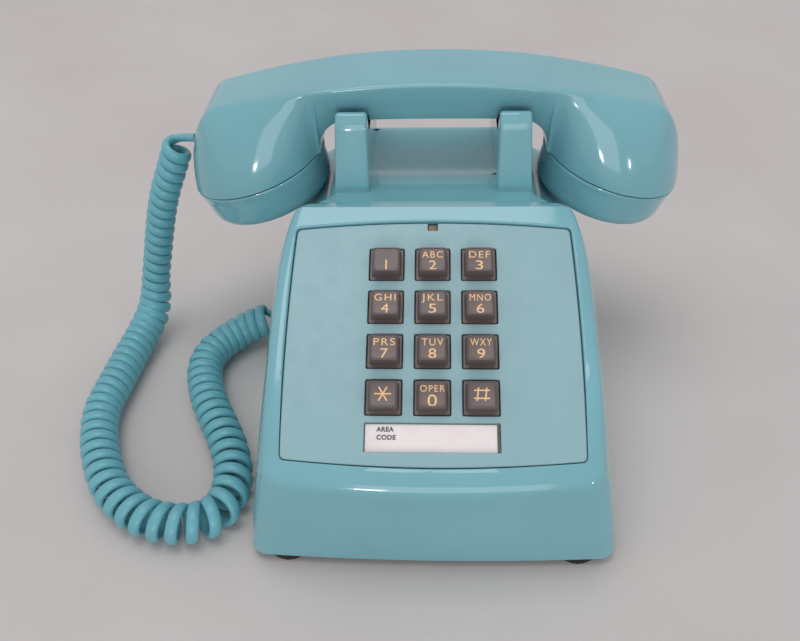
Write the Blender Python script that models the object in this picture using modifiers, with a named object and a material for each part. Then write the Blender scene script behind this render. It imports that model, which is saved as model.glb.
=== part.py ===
"""Push-button desk telephone with a coiled handset cord, as separate pieces.

Axes: +X to the user's right, +Y to the back, +Z up; Z = 0 is the table under the feet.
Lengths are written in millimetres and turned into metres by MM.
"""
import math

import bmesh
import bpy
from mathutils import Matrix, Vector

MM = 0.001
GAP = 0.3                      # clearance between touching pieces

# Housing
FRONT_Y, REAR_Y = -102.0, 102.0
BASE_Z = 4.4                   # lower edge of the housing
WALL = 2.8
TOP_WALL = 5.4                 # thicker roof, it carries the faceplate ledge
FRONT_CORNER = 6.0             # plan radius of the corners
FRONT_EDGE = 4.0               # radius from the front wall to the sloping top
FRONT_BULGE = 4.5              # how far the front wall bows forward in plan, at its top
FLAT_SHARE = 0.3               # share of the bow left at its foot
FRONT_LEAN = 2.3               # how far the foot of the front wall stands back
FRONT_TOP_Z = 50.0             # upper edge of the front wall
BULGE_DEPTH = 40.0

# Sloping key panel
SLOPE = math.radians(27.0)
PANEL_Y, PANEL_Z = -48.0, 76.0     # centre of the key grid
RIM_PROUD = 0.8                    # the rim stands above the faceplate
PLATE_THICK = 2.2
PLATE_BOTTOM, PLATE_TOP = -48.9, 41.4
PLATE_HALF_BOTTOM, PLATE_HALF_TOP = 53.6, 52.7
PLATE_BOW = 2.6                    # how far the faceplate's edges bow outward
PLATE_SIDE_BOW = 1.0
KEY_PITCH = 17.4625                # 11/16 inch
KEY_OPENING = 13.5
KEY_NAMES = ("1", "2", "3", "4", "5", "6", "7", "8", "9", "star", "0", "pound")
WINDOW_HALF_X, WINDOW_LOW, WINDOW_HIGH = 24.1, -46.0, -35.3

# Cradle
DECK_Z = 96.0
SADDLE_Z = 116.8
EAR_TOP_Z = 127.5
EAR_IN_X, EAR_OUT_X = 26.0, 38.6
EAR_FRONT_Y, EAR_REAR_Y = 12.5, 69.5
PLUNGER_X = 33.0
PLUNGER_R = 2.9
PLUNGER_TOP_Z = 118.5              # just under the resting handset

# Handset
HANDSET_Y = 41.0
HANDSET_HALF = 104.8
HANDLE_TOP_Z = 137.5
HANDLE_UNDER_Z = 119.4
ARCH_RADIUS = 350.0
TOP_FLAT_END = 87.0
END_ROUND = 1.7                    # fullness of the rounded ends; 2 is an ellipse
CAP_X, CAP_Z = 76.0, 95.6          # centre of a cap's seam circle
CAP_R = 30.0
CAP_TILT = math.radians(16.0)
CAP_HEIGHT = 17.4
CUP_INNER_ROUND = 12.0             # from the handle's underside down into a cup
CORD_EXIT_X, CORD_EXIT_Z = -99.6, 106.0

# Handset cord
COIL_R = 8.4                       # where it lies; it is thinner where its own weight stretches it
COIL_R_HUNG = 7.0
HUNG_Z, LYING_Z = 32.0, 12.8
JACK_Y, JACK_Z = 29.0, 13.5        # side jack in the housing
CORD_ROUTE = (
    (-111.5, 42.5, 100.5), (-116.8, 42.2, 89.0), (-120.8, 42.0, 80.3), (-125.2, 41.5, 68.6),
    (-129.4, 41.0, 54.8), (-132.5, 40.0, 43.4), (-135.4, 38.0, 31.8), (-136.9, 35.4, 22.6),
    (-139.0, 30.8, 14.8), (-142.1, 21.6, 10.0), (-144.9, 5.4, 8.6), (-146.8, -14.0, 8.6),
    (-147.7, -27.3, 8.6), (-145.5, -40.2, 8.6), (-139.9, -55.7, 8.6), (-131.7, -70.2, 8.6),
    (-122.4, -79.4, 8.6), (-111.3, -85.8, 8.6), (-98.8, -87.8, 8.6), (-89.9, -85.9, 8.6),
    (-84.4, -81.2, 8.6), (-82.0, -74.0, 8.6), (-82.3, -62.7, 8.6), (-86.7, -49.5, 8.6),
    (-93.2, -36.5, 8.6), (-99.7, -24.4, 8.6), (-105.2, -10.2, 8.6), (-107.0, 1.4, 8.6),
    (-104.6, 11.0, 8.6), (-98.6, 19.2, 8.8), (-91.4, 24.8, 10.2), (-82.4, 28.2, 12.4),
)
CORD_POINTS = 72
WIRE_R = 2.4                       # the cord itself, where it isn't coiled
HANDSET_TAIL = ((-105.1, 41.0, 106.0), (-107.2, 41.3, 105.9), (-109.2, 42.1, 104.7), (-110.48, 42.55, 102.7),
                (-111.33, 42.51, 100.87))
SIDE_TAIL = ((-82.05, 28.34, 12.5), (-79.2, 28.9, 13.2), (-76.0, 29.0, 13.5), (-73.1, 29.0, 13.5))
TAIL_POINTS = 7

TURQUOISE = (0.165, 0.395, 0.450)
PANEL_COLOR = (0.270, 0.420, 0.450)
KEY_COLOR = (0.110, 0.085, 0.080)


# ---------------------------------------------------------------- scene and materials
def clear_scene():
    for obj in list(bpy.data.objects):
        bpy.data.objects.remove(obj, do_unlink=True)


def new_collection(name):
    collection = bpy.data.collections.new(name)
    bpy.context.scene.collection.children.link(collection)
    return collection


def material(name, color, roughness=0.4, metallic=0.0, alpha=1.0):
    mat = bpy.data.materials.get(name)
    if mat:
        return mat
    mat = bpy.data.materials.new(name)
    mat.use_nodes = True
    shader = mat.node_tree.nodes["Principled BSDF"]
    shader.inputs["Base Color"].default_value = (*color, 1.0)
    shader.inputs["Roughness"].default_value = roughness
    shader.inputs["Metallic"].default_value = metallic
    shader.inputs["Alpha"].default_value = alpha
    return mat


MATERIALS = {
    "gloss": (TURQUOISE, 0.12, 0.0),
    "panel": (PANEL_COLOR, 0.35, 0.0),
    "key": (KEY_COLOR, 0.35, 0.0),
    "steel": ((0.55, 0.55, 0.56), 0.35, 1.0),
    "bronze": ((0.32, 0.22, 0.12), 0.4, 1.0),
    "brass": ((0.75, 0.58, 0.27), 0.25, 1.0),
    "rubber": ((0.02, 0.02, 0.02), 0.8, 0.0),
    "card": ((0.82, 0.72, 0.72), 0.8, 0.0),
    "clear": ((0.9, 0.9, 0.9), 0.05, 0.0),
    "board": ((0.20, 0.12, 0.05), 0.6, 0.0),
    "dark": ((0.05, 0.05, 0.055), 0.5, 0.0),
    "cream": ((0.75, 0.70, 0.60), 0.5, 0.0),
}


def finish(obj, collection, kind=None, smooth=True):
    """Puts an object in its collection; a part gets its material, a cutter is hidden."""
    for user in list(obj.users_collection):
        user.objects.unlink(obj)
    collection.objects.link(obj)
    if kind is None:
        obj.hide_render = True
        obj.display_type = "WIRE"
        return obj
    if smooth:
        obj.data.shade_smooth()
        obj.data.set_sharp_from_angle(angle=math.radians(35))
    obj.data.materials.clear()
    obj.data.materials.append(material(kind, *MATERIALS[kind]))
    return obj


# ---------------------------------------------------------------- shape helpers (sizes in mm)
def mesh_object(name, bm, matrix=None):
    bmesh.ops.recalc_face_normals(bm, faces=bm.faces)
    mesh = bpy.data.meshes.new(name)
    bm.to_mesh(mesh)
    bm.free()
    mesh.transform(Matrix.Scale(MM, 4))
    obj = bpy.data.objects.new(name, mesh)
    if matrix is not None:
        obj.matrix_world = matrix
    return obj


def box(name, low, high, matrix=None, bevel=0.0):
    bm = bmesh.new()
    size = [high[i] - low[i] for i in range(3)]
    middle = [(high[i] + low[i]) / 2 for i in range(3)]
    bmesh.ops.create_cube(bm, size=1.0, matrix=Matrix.Translation(middle) @ Matrix.Diagonal((*size, 1.0)))
    if bevel:
        bmesh.ops.bevel(bm, geom=bm.edges[:], offset=bevel, segments=2, affect="EDGES", profile=0.5)
    return mesh_object(name, bm, matrix)


def cylinder(name, radius, low, high, matrix=None, sides=24, top_radius=None):
    """A cylinder or cone along local Z, from low to high."""
    bm = bmesh.new()
    top_radius = radius if top_radius is None else top_radius
    bmesh.ops.create_cone(bm, cap_ends=True, segments=sides, radius1=radius, radius2=top_radius,
                          depth=high - low, matrix=Matrix.Translation((0, 0, (low + high) / 2)))
    return mesh_object(name, bm, matrix)


def turned(name, profile, matrix=None, steps=32):
    """A closed profile of (radius, height) points turned about local Z by a Screw modifier."""
    mesh = bpy.data.meshes.new(name)
    points = [(r * MM, 0.0, z * MM) for r, z in profile]
    count = len(points)
    closed = profile[0][0] > 0 or profile[-1][0] > 0
    edges = [(i, i + 1) for i in range(count - 1)]
    if closed:
        edges.append((count - 1, 0))
    mesh.from_pydata(points, edges, [])
    obj = bpy.data.objects.new(name, mesh)
    if matrix is not None:
        obj.matrix_world = matrix
    screw = obj.modifiers.new("turn", "SCREW")
    screw.steps = steps
    screw.render_steps = steps
    screw.use_merge_vertices = True
    screw.merge_threshold = 0.00001
    screw.use_smooth_shade = True
    return obj


def prism(name, outline, low, high, matrix=None):
    """A flat outline in local XY, extruded from height low to height high."""
    bm = bmesh.new()
    lower = [bm.verts.new((x, y, low)) for x, y in outline]
    face = bm.faces.new(lower)
    extruded = bmesh.ops.extrude_face_region(bm, geom=[face])
    moved = [item for item in extruded["geom"] if isinstance(item, bmesh.types.BMVert)]
    bmesh.ops.translate(bm, verts=moved, vec=(0, 0, high - low))
    return mesh_object(name, bm, matrix)


def loft(name, rings):
    """A closed solid through rings of equal point count; each end is closed by a fan."""
    bm = bmesh.new()
    loops = [[bm.verts.new(point) for point in ring] for ring in rings]
    for first, second in zip(loops, loops[1:]):
        for i in range(len(first)):
            j = (i + 1) % len(first)
            bm.faces.new((first[i], first[j], second[j], second[i]))
    for loop in (loops[0], loops[-1]):
        heights = [vert.co.z for vert in loop]
        middle = bm.verts.new((*loop[0].co.xy, (min(heights) + max(heights)) / 2))
        for i in range(len(loop)):
            bm.faces.new((loop[i], loop[(i + 1) % len(loop)], middle))
    bmesh.ops.triangulate(bm, faces=bm.faces[:])
    return mesh_object(name, bm)


def boolean(obj, cutter, operation="DIFFERENCE"):
    modifier = obj.modifiers.new(operation.lower(), "BOOLEAN")
    modifier.operation = operation
    modifier.object = cutter
    modifier.solver = "EXACT"


def fillet(corner, before, after, radius, steps=3):
    """Points of a round that replaces a corner of an open outline."""
    corner, before, after = Vector(corner), Vector(before), Vector(after)
    start = corner + (before - corner).normalized() * radius
    end = corner + (after - corner).normalized() * radius
    points = []
    for i in range(steps + 1):
        t = i / steps
        points.append(tuple(start * (1 - t) ** 2 + corner * (2 * t * (1 - t)) + end * t ** 2))
    return points


def blend_rows(rows, at):
    """Values of a row table at a given first column, in straight lines between rows."""
    if at <= rows[0][0]:
        return rows[0][1:]
    for low, high in zip(rows, rows[1:]):
        if at <= high[0]:
            t = (at - low[0]) / (high[0] - low[0])
            return [a + (b - a) * t for a, b in zip(low[1:], high[1:])]
    return rows[-1][1:]


def quarter(depth, radius):
    """How far a round of this radius falls back at a depth inside its edge."""
    if depth >= radius:
        return 0.0
    return radius - math.sqrt(radius ** 2 - (radius - depth) ** 2)


PANEL = Matrix.Translation((0, PANEL_Y * MM, PANEL_Z * MM)) @ Matrix.Rotation(SLOPE, 4, "X")


# ---------------------------------------------------------------- housing
# y: half width of the deck, waist x and z, shoulder x and z, base half width
SIDE_ROWS = (
    (-102.0, 59.4, 62.8, 40.0, 66.4, 24.0, 69.4),
    (-75.0, 60.0, 63.4, 52.0, 67.2, 30.0, 71.0),
    (-40.0, 59.2, 62.8, 68.0, 67.4, 40.0, 71.2),
    (-6.0, 54.6, 58.2, 89.0, 61.8, 77.0, 71.0),
    (4.0, 49.0, 54.0, 87.0, 60.6, 78.5, 70.5),
    (14.0, 41.4, 44.8, 85.5, 59.5, 79.0, 70.5),
    (66.0, 41.4, 44.8, 85.5, 59.5, 79.0, 70.0),
    (80.0, 42.0, 47.0, 75.5, 58.0, 69.0, 69.5),
    (92.0, 46.0, 51.0, 55.0, 58.6, 48.0, 68.8),
    (102.0, 50.0, 53.4, 29.0, 59.0, 22.0, 65.5),
)
# y: height of the middle of the roof behind the panel's ridge
ROOF_ROWS = ((-2.6, 99.5), (0.5, 98.8), (3.4, 96.8), (6.0, DECK_Z), (24.0, 96.4), (34.0, 94.4), (50.0, 94.0),
             (66.0, DECK_Z), (72.0, 93.0), (80.0, 84.0), (92.0, 62.0), (99.0, 43.0), (102.0, 33.0))
STATIONS = (-102.0, -101.6, -100.4, -98.6, -96.0, -92.0, -84.0, -72.0, -56.0, -40.0, -24.0, -12.0, -6.0, -2.6,
            0.5, 3.4, 6.0, 10.0, 14.0, 24.0, 34.0, 50.0, 66.0, 72.0, 80.0, 92.0, 99.0, 102.0)


def roof_height(y):
    if y > ROOF_ROWS[0][0]:
        return blend_rows(ROOF_ROWS, y)[0]
    plane = PANEL_Z + RIM_PROUD / math.cos(SLOPE) + (y - PANEL_Y) * math.tan(SLOPE)
    return plane - quarter(y - FRONT_Y, FRONT_EDGE)


def front_shift(x, z):
    """How far the front wall stands back from FRONT_Y at a place."""
    rise = min(1.0, max(0.0, z / FRONT_TOP_Z))
    bow = FRONT_BULGE * (FLAT_SHARE + (1 - FLAT_SHARE) * rise)
    return bow * (x / 60.0) ** 2 + FRONT_LEAN * (1 - rise)


def housing_ring(y, inset, floor):
    """Outline of the housing in the plane at y; inset shrinks it for the inside."""
    deck, waist_x, waist_z, shoulder_x, shoulder_z, base = blend_rows(SIDE_ROWS, y)
    plan = quarter(y - FRONT_Y, FRONT_CORNER) + quarter(REAR_Y - y, FRONT_CORNER)
    shrink = plan + inset
    drop = TOP_WALL * inset / WALL
    top = roof_height(y)
    flat_top = max(top, DECK_Z) if 24.0 <= y <= 66.0 else top
    deck_point = (deck - shrink, flat_top - drop)
    waist = (waist_x - shrink, min(waist_z, top - 6.0) - drop)
    shoulder = (shoulder_x - shrink, min(shoulder_z, top - 14.0) - drop)
    foot = (base - shrink, floor)
    middle = (0.0, top - drop)
    dish = (EAR_IN_X - 2.0, top - drop)
    half = [middle, dish]
    half += fillet(deck_point, dish, waist, 3.2)
    half += fillet(waist, deck_point, shoulder, 3.0)
    half += fillet(shoulder, waist, foot, 5.0)
    half.append(foot)
    bulge_share = max(0.0, 1.0 - (y - FRONT_Y) / BULGE_DEPTH)
    under = [(foot[0] * share / 4, floor) for share in range(3, -4, -1)]
    left = [(-x, z) for x, z in reversed(half[1:])]
    ring = half + under + left
    return [(x, y + bulge_share * front_shift(x, z), z) for x, z in ring]


def housing_body(name, inset, floor):
    first, last = STATIONS[0] + inset, STATIONS[-1] - inset
    inner = [y for y in STATIONS[1:-1] if first + 0.3 < y < last - 0.3]
    return loft(name, [housing_ring(y, inset, floor) for y in [first, *inner, last]])


def ear_outline():
    """Side outline (y, z) of one cradle block: front ear, saddle, rear ear."""
    half = HANDSET_Y - EAR_FRONT_Y
    front = [(-half, 86.0), (-half, DECK_Z), (-23.0, 124.2), (-21.6, 126.0), (-17.2, EAR_TOP_Z),
             (-13.4, SADDLE_Z)]
    rear = [(-y, z) for y, z in reversed(front)]
    return [(HANDSET_Y + y, z) for y, z in front + rear]


def cradle_block(side, cutters):
    """One side block of the cradle; local X runs across, the outline is in Y and Z."""
    bm = bmesh.new()
    outline = ear_outline()
    inner = [bm.verts.new((EAR_IN_X, y, z)) for y, z in outline]
    lean = 2.6                          # the outer face widens towards the deck
    outer = []
    for y, z in outline:
        spread = lean * max(0.0, (EAR_TOP_Z - z) / (EAR_TOP_Z - 86.0))
        outer.append(bm.verts.new((EAR_OUT_X + spread, y, z)))
    bm.faces.new(inner)
    bm.faces.new(reversed(outer))
    for i in range(len(outline)):
        j = (i + 1) % len(outline)
        bm.faces.new((inner[i], outer[i], outer[j], inner[j]))
    if side < 0:
        bmesh.ops.scale(bm, vec=(-1, 1, 1), verts=bm.verts)
    bmesh.ops.recalc_face_normals(bm, faces=bm.faces)
    rims = [edge for edge in bm.edges if abs(edge.verts[0].co.x - edge.verts[1].co.x) < 2 * lean / 3]
    bmesh.ops.bevel(bm, geom=rims, offset=1.2, segments=2, affect="EDGES", profile=0.5)
    return finish(mesh_object("cradle_block", bm), cutters)


def faceplate_outline(grow, corner=2.4):
    """Slightly barrel-shaped outline of the faceplate, in panel coordinates."""
    bottom, top = PLATE_BOTTOM - grow, PLATE_TOP + grow
    low, high = PLATE_HALF_BOTTOM + grow, PLATE_HALF_TOP + grow
    corners = [(-low, bottom), (low, bottom), (high, top), (-high, top)]
    bows = (PLATE_BOW, PLATE_SIDE_BOW, PLATE_BOW, PLATE_SIDE_BOW)
    points = []
    for i in range(4):
        start, end = Vector(corners[i]), Vector(corners[(i + 1) % 4])
        along = (end - start).normalized()
        outward = Vector((along.y, -along.x))
        first, last = start + along * corner, end - along * corner
        for k in range(7):
            t = k / 6
            bow = bows[i] * 4 * t * (1 - t)
            points.append(tuple(first + (last - first) * t + outward * bow))
    return points


def build_housing(parts, cutters):
    housing = finish(housing_body("housing", 0.0, BASE_Z), parts, "gloss")
    for side in (-1, 1):
        boolean(housing, cradle_block(side, cutters), "UNION")
    hollow = finish(housing_body("housing_hollow", WALL, BASE_Z - 8.0), cutters)
    liner = finish(box("pocket_liner", (-29, 64, 58), (29, 104, 100)), cutters)
    boolean(hollow, liner)
    boolean(housing, hollow)
    cuts = [box("carrying_pocket", (-26, 68, 61), (26, 112, 88))]
    cuts.append(prism("faceplate_pocket", faceplate_outline(GAP), -PLATE_THICK - GAP, 9.0, PANEL))
    cuts.append(prism("dial_opening", faceplate_outline(-3.2), -12.0, 2.0, PANEL))
    cuts.append(box("side_jack_hole", (-80, JACK_Y - 6.5, JACK_Z - 6.0), (-55, JACK_Y + 6.5, JACK_Z + 6.0)))
    cuts.append(box("line_jack_hole", (24, 92, 8.0), (37, 112, 20.0)))
    for side in (-1, 1):
        x = side * PLUNGER_X
        cuts.append(box("ear_hollow", (x - 4.6, 19, 80), (x + 4.6, 63, 113.5)))
        shift = Matrix.Translation((x * MM, HANDSET_Y * MM, 0))
        cuts.append(cylinder("plunger_hole", PLUNGER_R + 0.35, 100, 135, shift, sides=20))
    for cut in cuts:
        boolean(housing, finish(cut, cutters))
    return housing


# ---------------------------------------------------------------- faceplate and keys
def key_centre(index):
    column, row = index % 3, index // 3
    return (column - 1) * KEY_PITCH, (1.5 - row) * KEY_PITCH


def build_faceplate(parts, cutters):
    plate = finish(prism("faceplate", faceplate_outline(-0.1), -PLATE_THICK, 0.0, PANEL), parts, "panel")
    half = KEY_OPENING / 2
    for index in range(len(KEY_NAMES)):
        x, y = key_centre(index)
        hole = box("key_hole", (x - half, y - half, -6), (x + half, y + half, 6), PANEL)
        boolean(plate, finish(hole, cutters))
    window = box("window_hole", (-WINDOW_HALF_X, WINDOW_LOW, -6), (WINDOW_HALF_X, WINDOW_HIGH, 6), PANEL)
    boolean(plate, finish(window, cutters))
    notch = box("latch_notch", (-2.0, PLATE_TOP - 0.9, -6), (2.0, PLATE_TOP + 8, 6), PANEL)
    boolean(plate, finish(notch, cutters))
    latch = box("faceplate_latch", (-1.7, PLATE_TOP - 0.6, -2.1), (1.7, PLATE_TOP + 2.2, -0.9), PANEL, 0.2)
    finish(latch, parts, "bronze")
    inset = GAP
    card = box("number_card", (-WINDOW_HALF_X + inset, WINDOW_LOW + inset, -2.1),
               (WINDOW_HALF_X - 1.2, WINDOW_HIGH - inset, -1.5), PANEL)
    finish(card, parts, "card", smooth=False)
    cover = box("card_window", (-WINDOW_HALF_X + inset, WINDOW_LOW + inset, -1.2),
                (WINDOW_HALF_X - inset, WINDOW_HIGH - inset, -0.2), PANEL, 0.2)
    finish(cover, parts, "clear", smooth=False)
    return plate


def build_key(index, parts):
    """A key: concave square cap, flange inside the faceplate, and a guide stem."""
    x, y = key_centre(index)
    name = "key_" + KEY_NAMES[index]
    cap_low, cap_top, cap_base, cap_height = 5.5, 4.7, -0.3, 5.0
    dish = 0.45
    bm = bmesh.new()
    levels = [(3.9, -12.0), (3.9, -1.6), (6.35, -1.6), (6.35, cap_base), (cap_low, cap_base),
              (cap_top + 0.2, cap_height - 1.0), (cap_top - 0.35, cap_height - 0.1)]
    rings = []
    for half, height in levels:
        square = [(-half, -half), (0, -half), (half, -half), (half, 0), (half, half), (0, half), (-half, half),
                  (-half, 0)]
        rings.append([bm.verts.new((px, py, height)) for px, py in square])
    for first, second in zip(rings, rings[1:]):
        for i in range(8):
            j = (i + 1) % 8
            bm.faces.new((first[i], first[j], second[j], second[i]))
    bm.faces.new(list(reversed(rings[0])))
    centre = bm.verts.new((0, 0, cap_height - 0.1 - dish))
    for i in range(8):
        bm.faces.new((rings[-1][i], rings[-1][(i + 1) % 8], centre))
    place = PANEL @ Matrix.Translation((x * MM, y * MM, 0))
    return finish(mesh_object(name, bm, place), parts, "key", smooth=False)


def build_dial(parts, cutters):
    """Guide frame behind the faceplate, its circuit board and two inductors."""
    frame = finish(box("dial_frame", (-38, -46, -30), (38, 42, -8.4), PANEL), parts, "cream", smooth=False)
    inside = box("dial_inside", (-36, -44, -40), (36, 40, -10.4), PANEL)
    boolean(frame, finish(inside, cutters))
    for index in range(len(KEY_NAMES)):
        x, y = key_centre(index)
        guide = box("stem_guide", (x - 4.3, y - 4.3, -14), (x + 4.3, y + 4.3, -4), PANEL)
        boolean(frame, finish(guide, cutters))
    board = box("dial_circuit_board", (-34, -42, -18.2), (34, 38, -16.6), PANEL)
    finish(board, parts, "board", smooth=False)
    for side, label in ((-1, "left"), (1, "right")):
        place = PANEL @ Matrix.Translation((side * 17 * MM, -6 * MM, 0))
        coil = cylinder("dial_inductor_" + label, 11, -30.5, -18.5, place, sides=20)
        finish(coil, parts, "dark")


# ---------------------------------------------------------------- base plate, feet and screws
FOOT_PLACES = (("front_left", -55.5, -89.5), ("front_right", 55.5, -89.5), ("rear_left", -53, 82), ("rear_right", 53, 82))
WHEEL_X, WHEEL_Y, WHEEL_Z, WHEEL_R = -30.0, -22.0, 10.6, 9.0


def base_outline():
    """Plan outline of the base plate, a loose fit inside the housing."""
    inset = WALL + 0.8
    front, rear = FRONT_Y + inset + FRONT_LEAN + 0.4, REAR_Y - inset - 0.4
    points = []
    for t in range(9):
        x = -57.0 + 114.0 * t / 8
        points.append((x, front + FRONT_BULGE * (x / 60.0) ** 2 + quarter(60.0 - abs(x), 6.0) * 0.4))
    for y, x in ((-86.0, 61.6), (-40.0, 64.6), (30.0, 66.0), (80.0, 64.8), (92.0, 61.5)):
        points.append((x, y))
    points.append((54.0, rear))
    points.append((-54.0, rear))
    for y, x in ((92.0, 61.5), (80.0, 64.8), (30.0, 66.0), (-40.0, 64.6), (-86.0, 61.6)):
        points.append((-x, y))
    return points


def build_base(parts, cutters):
    plate = finish(prism("base_plate", base_outline(), 4.2, 5.4), parts, "steel", smooth=False)
    slot = box("wheel_slot", (WHEEL_X - 3.2, WHEEL_Y - 9.6, 0), (WHEEL_X + 3.2, WHEEL_Y + 9.6, 9))
    boolean(plate, finish(slot, cutters))
    for name, x, y in FOOT_PLACES:
        place = Matrix.Translation((x * MM, y * MM, 0))
        profile = [(0, 0), (7.6, 0), (8.6, 0.8), (8.9, 3.9), (0, 3.9)]
        foot = turned("foot_" + name, list(reversed(profile)), place, steps=20)
        finish(foot, parts, "rubber", smooth=False)
    for side, label in ((-1, "left"), (1, "right")):
        place = Matrix.Translation((side * 40 * MM, -60 * MM, 0))
        boolean(plate, finish(cylinder("screw_hole", 2.3, 0, 9, place, sides=16), cutters))
        profile = [(0, 22), (1.9, 22), (1.9, 3.9), (3.8, 3.9), (3.4, 2.4), (0, 2.0)]
        finish(turned("housing_screw_" + label, profile, place, steps=16), parts, "steel", smooth=False)


# ---------------------------------------------------------------- ringer, network and hookswitch
GONG_X, GONG_Y, GONG_R = 27.0, 8.0, 21.5
CLAPPER_PIVOT_Y, CLAPPER_Z = 30.0, 27.0


def build_ringer(parts, cutters):
    frame = box("ringer_frame", (-36, -2, 5.7), (36, 46, 7.7))
    finish(frame, parts, "steel", smooth=False)
    coil = box("ringer_coil", (-15, 34, 8.0), (15, 58, 40), bevel=1.5)
    finish(coil, parts, "dark")
    for side, label in ((-1, "left"), (1, "right")):
        place = Matrix.Translation((side * GONG_X * MM, GONG_Y * MM, 0))
        profile = [(2.4, 37.0), (14.0, 36.2), (19.5, 32.0), (GONG_R, 22.0), (GONG_R - 1.4, 22.0), (18.2, 31.0),
                   (13.4, 34.8), (2.4, 35.6)]
        finish(turned("gong_" + label, profile, place, steps=28), parts, "brass", smooth=False)
        screw = [(0, 39.6), (4.0, 39.4), (4.0, 37.3), (1.9, 37.3), (1.9, 8.0), (0, 8.0)]
        finish(turned("gong_screw_" + label, screw, place, steps=12), parts, "steel", smooth=False)
    arm = box("clapper", (-1.0, 11, 26), (1.0, 33.4, 28))
    finish(arm, parts, "brass", smooth=False)
    ball = cylinder("clapper_ball", 3.2, 23.6, 30.4, Matrix.Translation((0, 10 * MM, 0)), sides=14)
    boolean(arm, finish(ball, cutters), "UNION")
    spin = Matrix.Translation((WHEEL_X * MM, WHEEL_Y * MM, WHEEL_Z * MM)) @ Matrix.Rotation(math.pi / 2, 4, "Y")
    wheel = cylinder("volume_wheel", WHEEL_R, -2.2, 2.2, spin, sides=28)
    finish(wheel, parts, "dark", smooth=False)


def build_network(parts):
    finish(box("network_unit", (-50, 64, 6.0), (-2, 92, 34), bevel=1.2), parts, "dark")


LEVER_PIVOT_Y, LEVER_Z = 58.0, 82.6


def build_hookswitch(parts, cutters):
    bracket = box("hookswitch_bracket", (-22, 60.5, 6.0), (22, 62.1, 54))
    finish(bracket, parts, "steel", smooth=False)
    upright = box("bracket_upright", (-16, 61.0, 50.0), (16, 62.0, 84))
    boolean(bracket, finish(upright, cutters), "UNION")
    bar = box("hookswitch_lever", (-38, 37.5, LEVER_Z - 1.0), (38, 44.0, LEVER_Z + 1.0))
    finish(bar, parts, "steel", smooth=False)
    web = box("lever_web", (-12, 41.0, LEVER_Z - 0.8), (12, LEVER_PIVOT_Y + 2.0, LEVER_Z + 0.8))
    boolean(bar, finish(web, cutters), "UNION")
    stack = box("contact_spring_stack", (-8, 46.0, 60.0), (8, 56.5, 78.5), bevel=0.8)
    finish(stack, parts, "cream")
    for side, label in ((-1, "left"), (1, "right")):
        place = Matrix.Translation((side * PLUNGER_X * MM, HANDSET_Y * MM, 0))
        profile = [(0, PLUNGER_TOP_Z), (1.9, PLUNGER_TOP_Z), (PLUNGER_R, PLUNGER_TOP_Z - 1.1),
                   (PLUNGER_R, LEVER_Z + 1.3), (0, LEVER_Z + 1.3)]
        finish(turned("plunger_" + label, profile, place, steps=20), parts, "clear", smooth=False)


# ---------------------------------------------------------------- handset
CUP_INNER_X = CAP_X - CAP_R * math.cos(CAP_TILT)


def seam_height(s):
    return CAP_Z + (CAP_X - s) * math.tan(CAP_TILT)


def handset_half_section(s):
    """Top z, top half width, bottom z and bottom half width at a distance s from the middle."""
    end_low = seam_height(HANDSET_HALF)
    top = HANDLE_TOP_Z - s ** 2 / (2 * ARCH_RADIUS)
    top_half = 17.0 - 3.0 * max(0.0, (s - 40.0) / (TOP_FLAT_END - 40.0))
    if s > TOP_FLAT_END:
        along = min(1.0, (s - TOP_FLAT_END) / (HANDSET_HALF - TOP_FLAT_END))
        share = (1 - along ** END_ROUND) ** (1 / END_ROUND)
        flat_end = HANDLE_TOP_Z - TOP_FLAT_END ** 2 / (2 * ARCH_RADIUS)
        top = end_low + (flat_end - end_low) * share
        top_half = 14.0 * share
    reach = CAP_R ** 2 - ((s - CAP_X) / math.cos(CAP_TILT)) ** 2
    circle = math.sqrt(max(0.0, reach))
    if s < CUP_INNER_X:
        fall = quarter(CUP_INNER_X - s, CUP_INNER_ROUND)
        return top, top_half, HANDLE_UNDER_Z - s ** 2 / 2600.0 - fall, 10.0
    return top, top_half, seam_height(s) + 0.15, max(circle, 10.0 if s < CAP_X else 0.6)


HANDSET_STATIONS = (0.0, 14.0, 28.0, 36.0, 41.0, 44.5, 46.4, 47.16, 47.4, 49.0, 52.0, 57.0, 64.0, 72.0, 80.0,
                    87.0, 92.0, 96.5, 100.2, 103.0, 104.4, 104.8)


def handset_ring(x):
    s = abs(x)
    top, top_half, low, low_half = handset_half_section(s)
    top = max(top, low + 0.6)
    half = [(0.0, top), (top_half * 0.96, top)]
    for k in range(1, 7):
        t = k / 6
        grow = 1 - (1 - t) ** 1.6 if low_half > top_half else t ** 1.5
        half.append((top_half + (low_half - top_half) * grow, top - (top - low) * t ** 1.15))
    points = half + [(-y, z) for y, z in reversed(half[1:])]
    return [(x, HANDSET_Y + y, z) for y, z in points]


def cap_frame(side):
    """Local +Z points out of the cap; the origin is the centre of the seam circle."""
    turn = Matrix.Rotation(math.pi + side * CAP_TILT, 4, "Y")
    return Matrix.Translation((side * CAP_X * MM, HANDSET_Y * MM, CAP_Z * MM)) @ turn


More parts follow.
